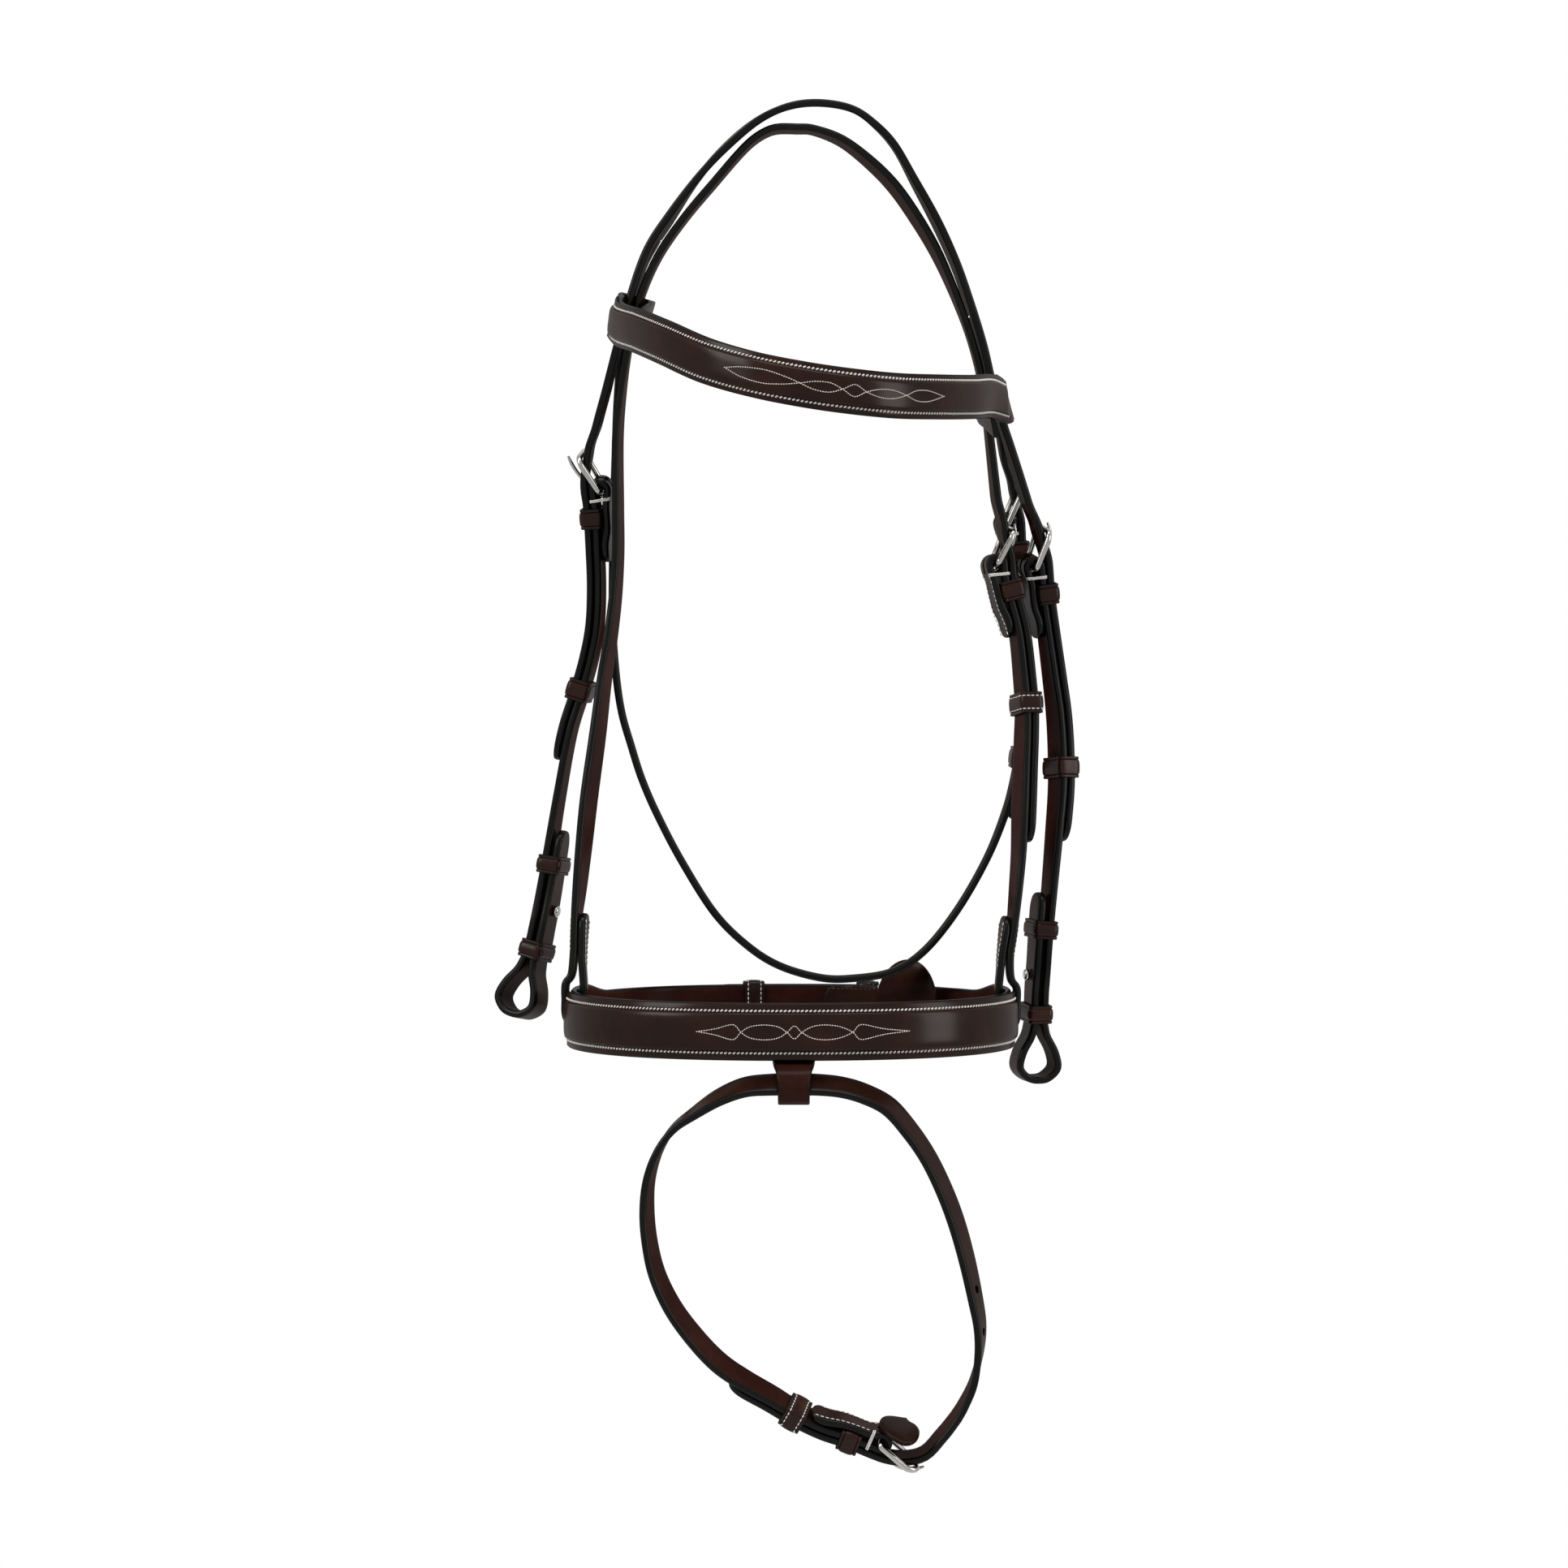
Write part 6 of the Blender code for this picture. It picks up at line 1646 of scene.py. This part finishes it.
def chin_pad(prefix, seat, length, height):
    out = -2 * seat.fold - seat.thickness / 2 - GAP - PAD_THICKNESS / 2
    bm = bmesh.new()
    bmesh.ops.create_uvsphere(bm, u_segments=PAD_SPOKES, v_segments=PAD_RINGS * 2, radius=1)
    for vertex in bm.verts:
        share = np.array(vertex.co)
        fullness = PAD_FLAT if share[2] > 0 else PAD_DOME
        level = math.copysign(abs(share[2]) ** fullness, share[2])
        vertex.co = seat.place(length * (PAD_AHEAD_SHARE + share[0] / 2),
                               share[1] * height / 2, out + level * PAD_THICKNESS / 2)
    made = finished(dressed(prefix + "_chin_pad_leather", mesh_from(bm, "pad"), pad_grain),
                    prefix + "_chin_pad")


chin_pad("noseband", nose_seat, NOSE_PAD_LENGTH, NOSE_PAD_HEIGHT)
chin_pad("flash", flash_seat, FLASH_PAD_LENGTH, FLASH_PAD_HEIGHT)

# %% [markdown]
# ## Stitching
#
# Every row of stitches is a path that repeats one small thing, which is what Geometry
# Nodes is for. Modelling each stitch by hand would give the same look with hundreds of
# places to keep in step. Here a path carries, at each point, the way its leather faces;
# the node group walks it at a pitch, sets one waxed stitch at each step and leans it over
# as a pricking iron does. One thread, two needles: the lean gives the rope-like row.

# %% Build the stitch row's node group
STITCH_FLATNESS = 0.75
STITCH_SIDES = 8
STITCH_RINGS = 6


def stitch_tree():
    """Stitches along a path: their pitch, length, width, lean and thread are its inputs."""
    tree = bpy.data.node_groups.new("Stitch row", "GeometryNodeTree")
    tree.interface.new_socket("Geometry", in_out="INPUT", socket_type="NodeSocketGeometry")
    kinds = dict.fromkeys(("Pitch", "Length", "Width", "Lean"), "NodeSocketFloat")
    kinds["Thread"] = "NodeSocketMaterial"
    names = {name: tree.interface.new_socket(name, in_out="INPUT", socket_type=kind).identifier
             for name, kind in kinds.items()}
    tree.interface.new_socket("Geometry", in_out="OUTPUT", socket_type="NodeSocketGeometry")
    start = tree.nodes.new("NodeGroupInput").outputs

    curve = node(tree, "GeometryNodeMeshToCurve", start["Geometry"])
    even = tree.nodes.new("GeometryNodeResampleCurve")
    even.mode = "LENGTH"
    feed(tree, even, Curve=curve.outputs[0], Length=start["Pitch"])
    faces = node(tree, "GeometryNodeInputNamedAttribute", Name="face")
    faces.data_type = "FLOAT_VECTOR"
    along = tree.nodes.new("GeometryNodeInputTangent")
    axes = tree.nodes.new("FunctionNodeAxesToRotation")
    axes.primary_axis = "X"
    axes.secondary_axis = "Z"
    feed(tree, axes, Primary_Axis=along.outputs[0], Secondary_Axis=faces.outputs["Attribute"])
    angle = node(tree, "FunctionNodeAxisAngleToRotation", Axis=(0, 0, 1), Angle=start["Lean"])
    lean = node(tree, "FunctionNodeRotateRotation", Rotation=axes.outputs[0],
                Rotate_By=angle.outputs[0])
    lean.rotation_space = "LOCAL"

    ball = node(tree, "GeometryNodeMeshUVSphere", Segments=STITCH_SIDES, Rings=STITCH_RINGS,
                Radius=0.5)
    rounded = node(tree, "GeometryNodeSetShadeSmooth", ball.outputs["Mesh"])
    flat = calculated(tree, "MULTIPLY", start["Width"], STITCH_FLATNESS)
    size = node(tree, "ShaderNodeCombineXYZ", start["Length"], start["Width"], flat)
    stitch = node(tree, "GeometryNodeTransform", Geometry=rounded.outputs[0],
                  Scale=size.outputs[0])
    spots = node(tree, "GeometryNodeInstanceOnPoints", Points=even.outputs[0],
                 Instance=stitch.outputs[0], Rotation=lean.outputs[0])
    real = node(tree, "GeometryNodeRealizeInstances", spots.outputs[0])
    look = node(tree, "GeometryNodeSetMaterial", Geometry=real.outputs[0],
                Material=start["Thread"])
    node(tree, "NodeGroupOutput", look.outputs[0])
    return tree, names


stitch_nodes, stitch_inputs = stitch_tree()


def stitches(name, body, paths, thread, pitch, length, width, lean=0):
    """One mesh of stitches along paths, whose points are (place, face) pairs."""
    points, faces, edges = [], [], []
    for path in paths:
        first = len(points)
        points += [tuple(place) for place, _ in path]
        faces += [tuple(face) for _, face in path]
        edges += [(i, i + 1) for i in range(first, len(points) - 1)]
    mesh = bpy.data.meshes.new(name)
    mesh.from_pydata(points, edges, [])
    way = mesh.attributes.new("face", "FLOAT_VECTOR", "POINT")
    way.data.foreach_set("vector", np.array(faces, float).ravel())
    made = linked(name, mesh)
    modifier = made.modifiers.new("Stitches", "NODES")
    modifier.node_group = stitch_nodes
    for key, value in zip(stitch_inputs, (pitch, length, width, lean, thread)):
        modifier[stitch_inputs[key]] = value
    plain(made)
    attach(made, body)
    print(name, len(made.data.polygons), "faces")
    return made


# %% [markdown]
# ## Where the rows run
#
# The two raised covers are sewn along both edges, then worked with fancy stitching: lens
# and diamond shapes drawn by two finer threads that cross and part along the middle. The
# curves are read as shares of the front's length, and mirrored about the middle line.

# %% Sew the covers
ROW_FROM_CREST = 0.8 * MM
ROW_LIFT = 0.12 * MM
ROW_SPACING = 3 * MM
EDGE_STITCH = (2 * MM, 1.75 * MM, 1 * MM)
FINE_STITCH = (1.2 * MM, 0.95 * MM, 0.52 * MM)
EDGE_LEAN = 0.6
FINE_LEAN = 0.15
NOSE_WORK = (-40.6 * MM, 55.4 * MM)
BROW_WORK = (-26.7 * MM, 68.6 * MM)
NOSE_WAVES = (
    (-1, 0), (-0.83, 0.4), (-0.66, 1), (-0.585, 0), (-0.5, -0.75), (-0.37, -1), (-0.24, -0.75),
    (-0.155, 0), (-0.085, 0.85), (-0.015, 0), (0.08, -0.75), (0.2, -1), (0.34, -0.75),
    (0.46, 0), (0.54, 1), (0.75, 0.4), (1, 0),
)
BROW_WAVES = (
    (-1, 0), (-0.85, 0.7), (-0.66, 1), (-0.5, 0.62), (-0.36, 0), (-0.24, -0.6), (-0.12, -0.7),
    (-0.02, 0), (0.08, 0.9), (0.18, 0), (0.3, -0.6), (0.42, -0.62), (0.55, 0), (0.66, 0.75),
    (0.8, 0.8), (1, 0),
)


def cover_stitching(prefix, cover, first, last, rise, waves, begin, stop):
    """Edge rows over the cover, and the fancy work between two places along it."""
    body = body_of_node[prefix + "_front"]
    rows, threads = [], []
    for sign in (-1, 1):
        across = sign * (cover.crest + ROW_FROM_CREST)
        rows.append([cover.surface(along, across, ROW_LIFT) for along in
                     spaced(cover.start + begin, cover.end - stop, ROW_SPACING)])
    stitches(prefix + "_edge_stitching", body, rows, white_thread, *EDGE_STITCH, EDGE_LEAN)
    middle, reach = (first + last) / 2, (last - first) / 2
    for sign in (1, -1):
        threads.append([cover.surface(middle + a * reach, sign * b * rise, ROW_LIFT)
                        for a, b in smooth_line(waves, 10)])
    stitches(prefix + "_fancy_stitching", body, threads, soft_thread, *FINE_STITCH, FINE_LEAN)


nose_work = (nose_line.nearest(0, NOSE_WORK[0], 0.45, 0.66),
             nose_line.nearest(0, NOSE_WORK[1], 0.66, 0.9))
cover_stitching("noseband", nose_cover, *nose_work, rise=3.5 * MM, waves=NOSE_WAVES,
                begin=1.5 * MM, stop=1.5 * MM)
brow_work = (brow_line.nearest(0, BROW_WORK[0], 0.3, 0.5),
             brow_line.nearest(0, BROW_WORK[1], 0.5, 0.75))
cover_stitching("browband", brow_cover, *brow_work, rise=3.1 * MM, waves=BROW_WAVES,
                begin=7 * MM, stop=4 * MM)

# %% [markdown]
# ## Rows on the straps
#
# The folds and doublings of the headstall, the noseband and the flash strap are sewn down
# along both of their edges, the noseband's in brown thread, and their runners are closed
# with two rows round them. Just behind each of the six heel bars, two turns of white
# thread bind each edge of the fold.

# %% Sew the folds, the doublings and the runners
STRAP_ROW = 1.9 * MM
RUNNER_ROW = 2 * MM
SMALL_STITCH = (2.3 * MM, 1.9 * MM, 0.6 * MM)
DOUBLING_LEAN = 0.2
FOLD_SEWN = (8 * MM, 33 * MM)
CHEEK_FOLD_SEWN = (6 * MM, 34 * MM)


def guide_row(guide, start, end, across, out, sign):
    """A row on one face of a layer: sign is 1 for the outer face."""
    found = []
    for along in spaced(start, end, ROW_SPACING):
        face = guide.frame(along)[3]
        found.append((guide.place(along, across, out + sign * ROW_LIFT), face * sign))
    return found


def fold_out(seat, back):
    """How far out the middle of a fold lies, this far back from its bar."""
    stages = ((0, -2 * seat.fold), (KEEPER_FROM_BAR, -seat.keeper_in),
              (KEEPER_FROM_BAR + KEEPER_WIDTH, -seat.keeper_in),
              (CHAPE_LENGTH - seat.thickness / 2, -seat.layer))
    for (near, out_near), (far, out_far) in zip(stages, stages[1:]):
        if back <= far:
            return eased(back, near, far, out_near, out_far)
    return -seat.layer


def fold_rows(seat, start, end):
    """Rows down both edges of a fold, on the face that looks inward."""
    rows = []
    for sign in (-1, 1):
        row = []
        for back in spaced(start, end, 1.5 * MM):
            low = fold_out(seat, back) - seat.thickness / 2 - ROW_LIFT
            row.append((seat.place(-back, sign * (seat.width / 2 - STRAP_ROW), low),
                        -seat.guide.frame(seat.along(-back))[3]))
        rows.append(row)
    return rows


def doubling_rows(middle, heading):
    neck = middle + heading * (NOSE_HEIGHT / 2 + HANGER_NECK)
    start, end = neck + heading * HANGER_NECK, neck + heading * (HANGER_DOUBLING - 4 * MM)
    inner = -CHEEK_THICKNESS - GAP - CHEEK_THICKNESS / 2
    rows = []
    for side in (-1, 1):
        across = side * (CHEEK_WIDTH / 2 - STRAP_ROW)
        rows.append(guide_row(headstall_line, start, end, across, CHEEK_THICKNESS / 2, 1))
        rows.append(guide_row(headstall_line, start, end, across, inner, -1))
    return rows


def runner_rows(prefix):
    """Two rows right round a runner, a little in from its rims."""
    tangent, places = runner_ring(buckles[prefix])
    rows = [[(place + outward * (KEEPER_WALL / 2 + ROW_LIFT)
              + tangent * shift * (RUNNER_WIDTH / 2 - RUNNER_ROW), outward)
             for place, outward in places + places[:1]] for shift in (-1, 1)]
    stitches(prefix + "_runner_stitching", body_of_node[prefix + "_runner"], rows,
             white_thread, *SMALL_STITCH)


sewn = fold_rows(nose_cheek_seat, *CHEEK_FOLD_SEWN) + doubling_rows(right_hang, -1)
sewn += doubling_rows(left_hang, 1)
stitches("headstall_stitching", body_of_node["noseband_headstall"], sewn, white_thread,
         *SMALL_STITCH, DOUBLING_LEAN)
for prefix, thread in (("flash", white_thread), ("noseband", brown_thread)):
    stitches(prefix + "_fold_stitching", body_of_node[prefix + "_strap"],
             fold_rows(buckles[prefix], *FOLD_SEWN), thread, *SMALL_STITCH)
for prefix in ("noseband_cheek", "noseband", "flash"):
    runner_rows(prefix)

# %% Bind the folds behind the heel bars
BINDING_TURNS = 2
BINDING_RADIUS = 0.38 * MM
BINDING_FROM_BAR = 4.6 * MM
BINDING_BITE = 2 * MM
BINDING_BEND = 0.8 * MM
BINDING_SINK = 0.7 * MM
BINDING_BEND_POINTS = 5


def binding(prefix, seat, strap_node):
    """Turns of thread over each edge of the strap and its fold, close behind the bar."""
    half, side = seat.thickness / 2, seat.width / 2
    hole, bend = side - BINDING_BITE, side - BINDING_BEND
    parts = []
    for turn in range(BINDING_TURNS):
        back = BINDING_FROM_BAR + turn * 2 * BINDING_RADIUS
        low = fold_out(seat, back) - half
        row = [(hole, half - BINDING_SINK), (hole, half)]
        for out, start, end in ((half - BINDING_BEND, 90, 0), (low + BINDING_BEND, 0, -90)):
            row += arc((bend, out), BINDING_BEND, start, end, BINDING_BEND_POINTS)
        row += [(hole, low), (hole, low + BINDING_SINK)]
        for sign in (-1, 1):
            places = [seat.place(-back, sign * across, out) for across, out in row]
            parts.append(wire("turn", places, [BINDING_RADIUS] * len(places),
                              look=white_thread))
    made = joined(prefix + "_binding", parts)
    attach(made, body_of_node[strap_node])
    print(made.name, len(made.data.polygons), "faces")


folded = {"left_cheek": "left_cheekpiece", "right_cheek": "right_cheekpiece",
          "throatlatch": "headpiece", "noseband_cheek": "noseband_cheekpiece",
          "noseband": "noseband_strap", "flash": "flash_strap"}
for prefix, strap_node in folded.items():
    binding(prefix, buckles[prefix], strap_node)

# %% [markdown]
# ## Light and backdrop
#
# The bridle hangs before plain white. Dark glazed leather shows only what it mirrors, so
# large soft panels beside and above it draw long highlights down each strap, while a dim
# sky keeps the rest of it dark. The white is the sky itself, which glows at full strength
# for the camera, for mirrors and for glass, and dimly for everything that it lights. The
# floor is plain pale paper that keeps the shadow and fades out towards its rim, so that
# no edge of it shows from above.

# %% Lay the floor and hang the lights
def seen_directly(tree):
    """1 for what the camera, a mirror or glass sees, and 0 for light on the object."""
    path = tree.nodes.new("ShaderNodeLightPath")
    seen = path.outputs["Is Camera Ray"]
    for ray in ("Is Glossy Ray", "Is Transmission Ray"):
        added = node(tree, "ShaderNodeMath", seen, path.outputs[ray])
        added.use_clamp = True
        seen = added.outputs[0]
    return seen


def pale_paper():
    """Matt paper with a glow of its own, see-through towards the rim of the sheet."""
    made, tree, shader = material_of("pale_paper", 0.9, Base_Color=(0.9, 0.9, 0.9, 1),
                                     Emission_Color=(1, 1, 1, 1))
    glow = calculated(tree, "MULTIPLY", seen_directly(tree), FLOOR_GLOW)
    away = node(tree, "ShaderNodeVectorMath", object_place(tree))
    away.operation = "LENGTH"
    start, end = (share * FLOOR_RADIUS for share in FLOOR_FADE)
    fade = node(tree, "ShaderNodeMapRange", Value=away.outputs["Value"], From_Min=start,
                From_Max=end, To_Min=1, To_Max=0)
    fade.interpolation_type = "SMOOTHSTEP"
    feed(tree, shader, Emission_Strength=glow, Alpha=fade.outputs["Result"])
    return made


FLOOR_LEVEL = -0.95
FLOOR_RADIUS = 1.25
FLOOR_GLOW = 0.45
FLOOR_FADE = (0.45, 0.95)
grid = bmesh.new()
bmesh.ops.create_circle(grid, cap_ends=True, radius=FLOOR_RADIUS, segments=64)
sheet = bpy.data.meshes.new("floor")
grid.to_mesh(sheet)
grid.free()
sheet.materials.append(pale_paper())
ground = linked("floor", sheet)
ground.location = (0, 0, FLOOR_LEVEL)


def panel(name, place, aim, size, watts, mirrored=True):
    light = bpy.data.lights.new(name, "AREA")
    light.shape = "RECTANGLE"
    light.size, light.size_y = size
    light.energy = watts
    made = linked(name, light)
    made.location = place
    made.rotation_euler = (Vector(aim) - Vector(place)).to_track_quat("-Z", "Y").to_euler()
    made.visible_glossy = mirrored
    return made


lights = [panel("key", (-1.7, -1.1, 0.8), (0, 0, -0.3), (1.0, 1.4), 34),
          panel("fill", (1.9, -0.9, 0.0), (0, 0, -0.35), (0.8, 1.6), 22),
          panel("top", (0.1, -0.6, 1.5), (0, 0, -0.2), (1.4, 0.7), 20),
          panel("back", (0.6, 2.2, 0.6), (0, 0, -0.3), (1.6, 1.2), 20, mirrored=False)]
SKY = 0.1
sky = bpy.data.worlds.new("sky")
sky.use_nodes = True
tree = sky.node_tree
feed(tree, tree.nodes["Background"], Color=(1, 1, 1, 1),
     Strength=ranged(tree, seen_directly(tree), To_Min=SKY, To_Max=1))
bpy.context.scene.world = sky
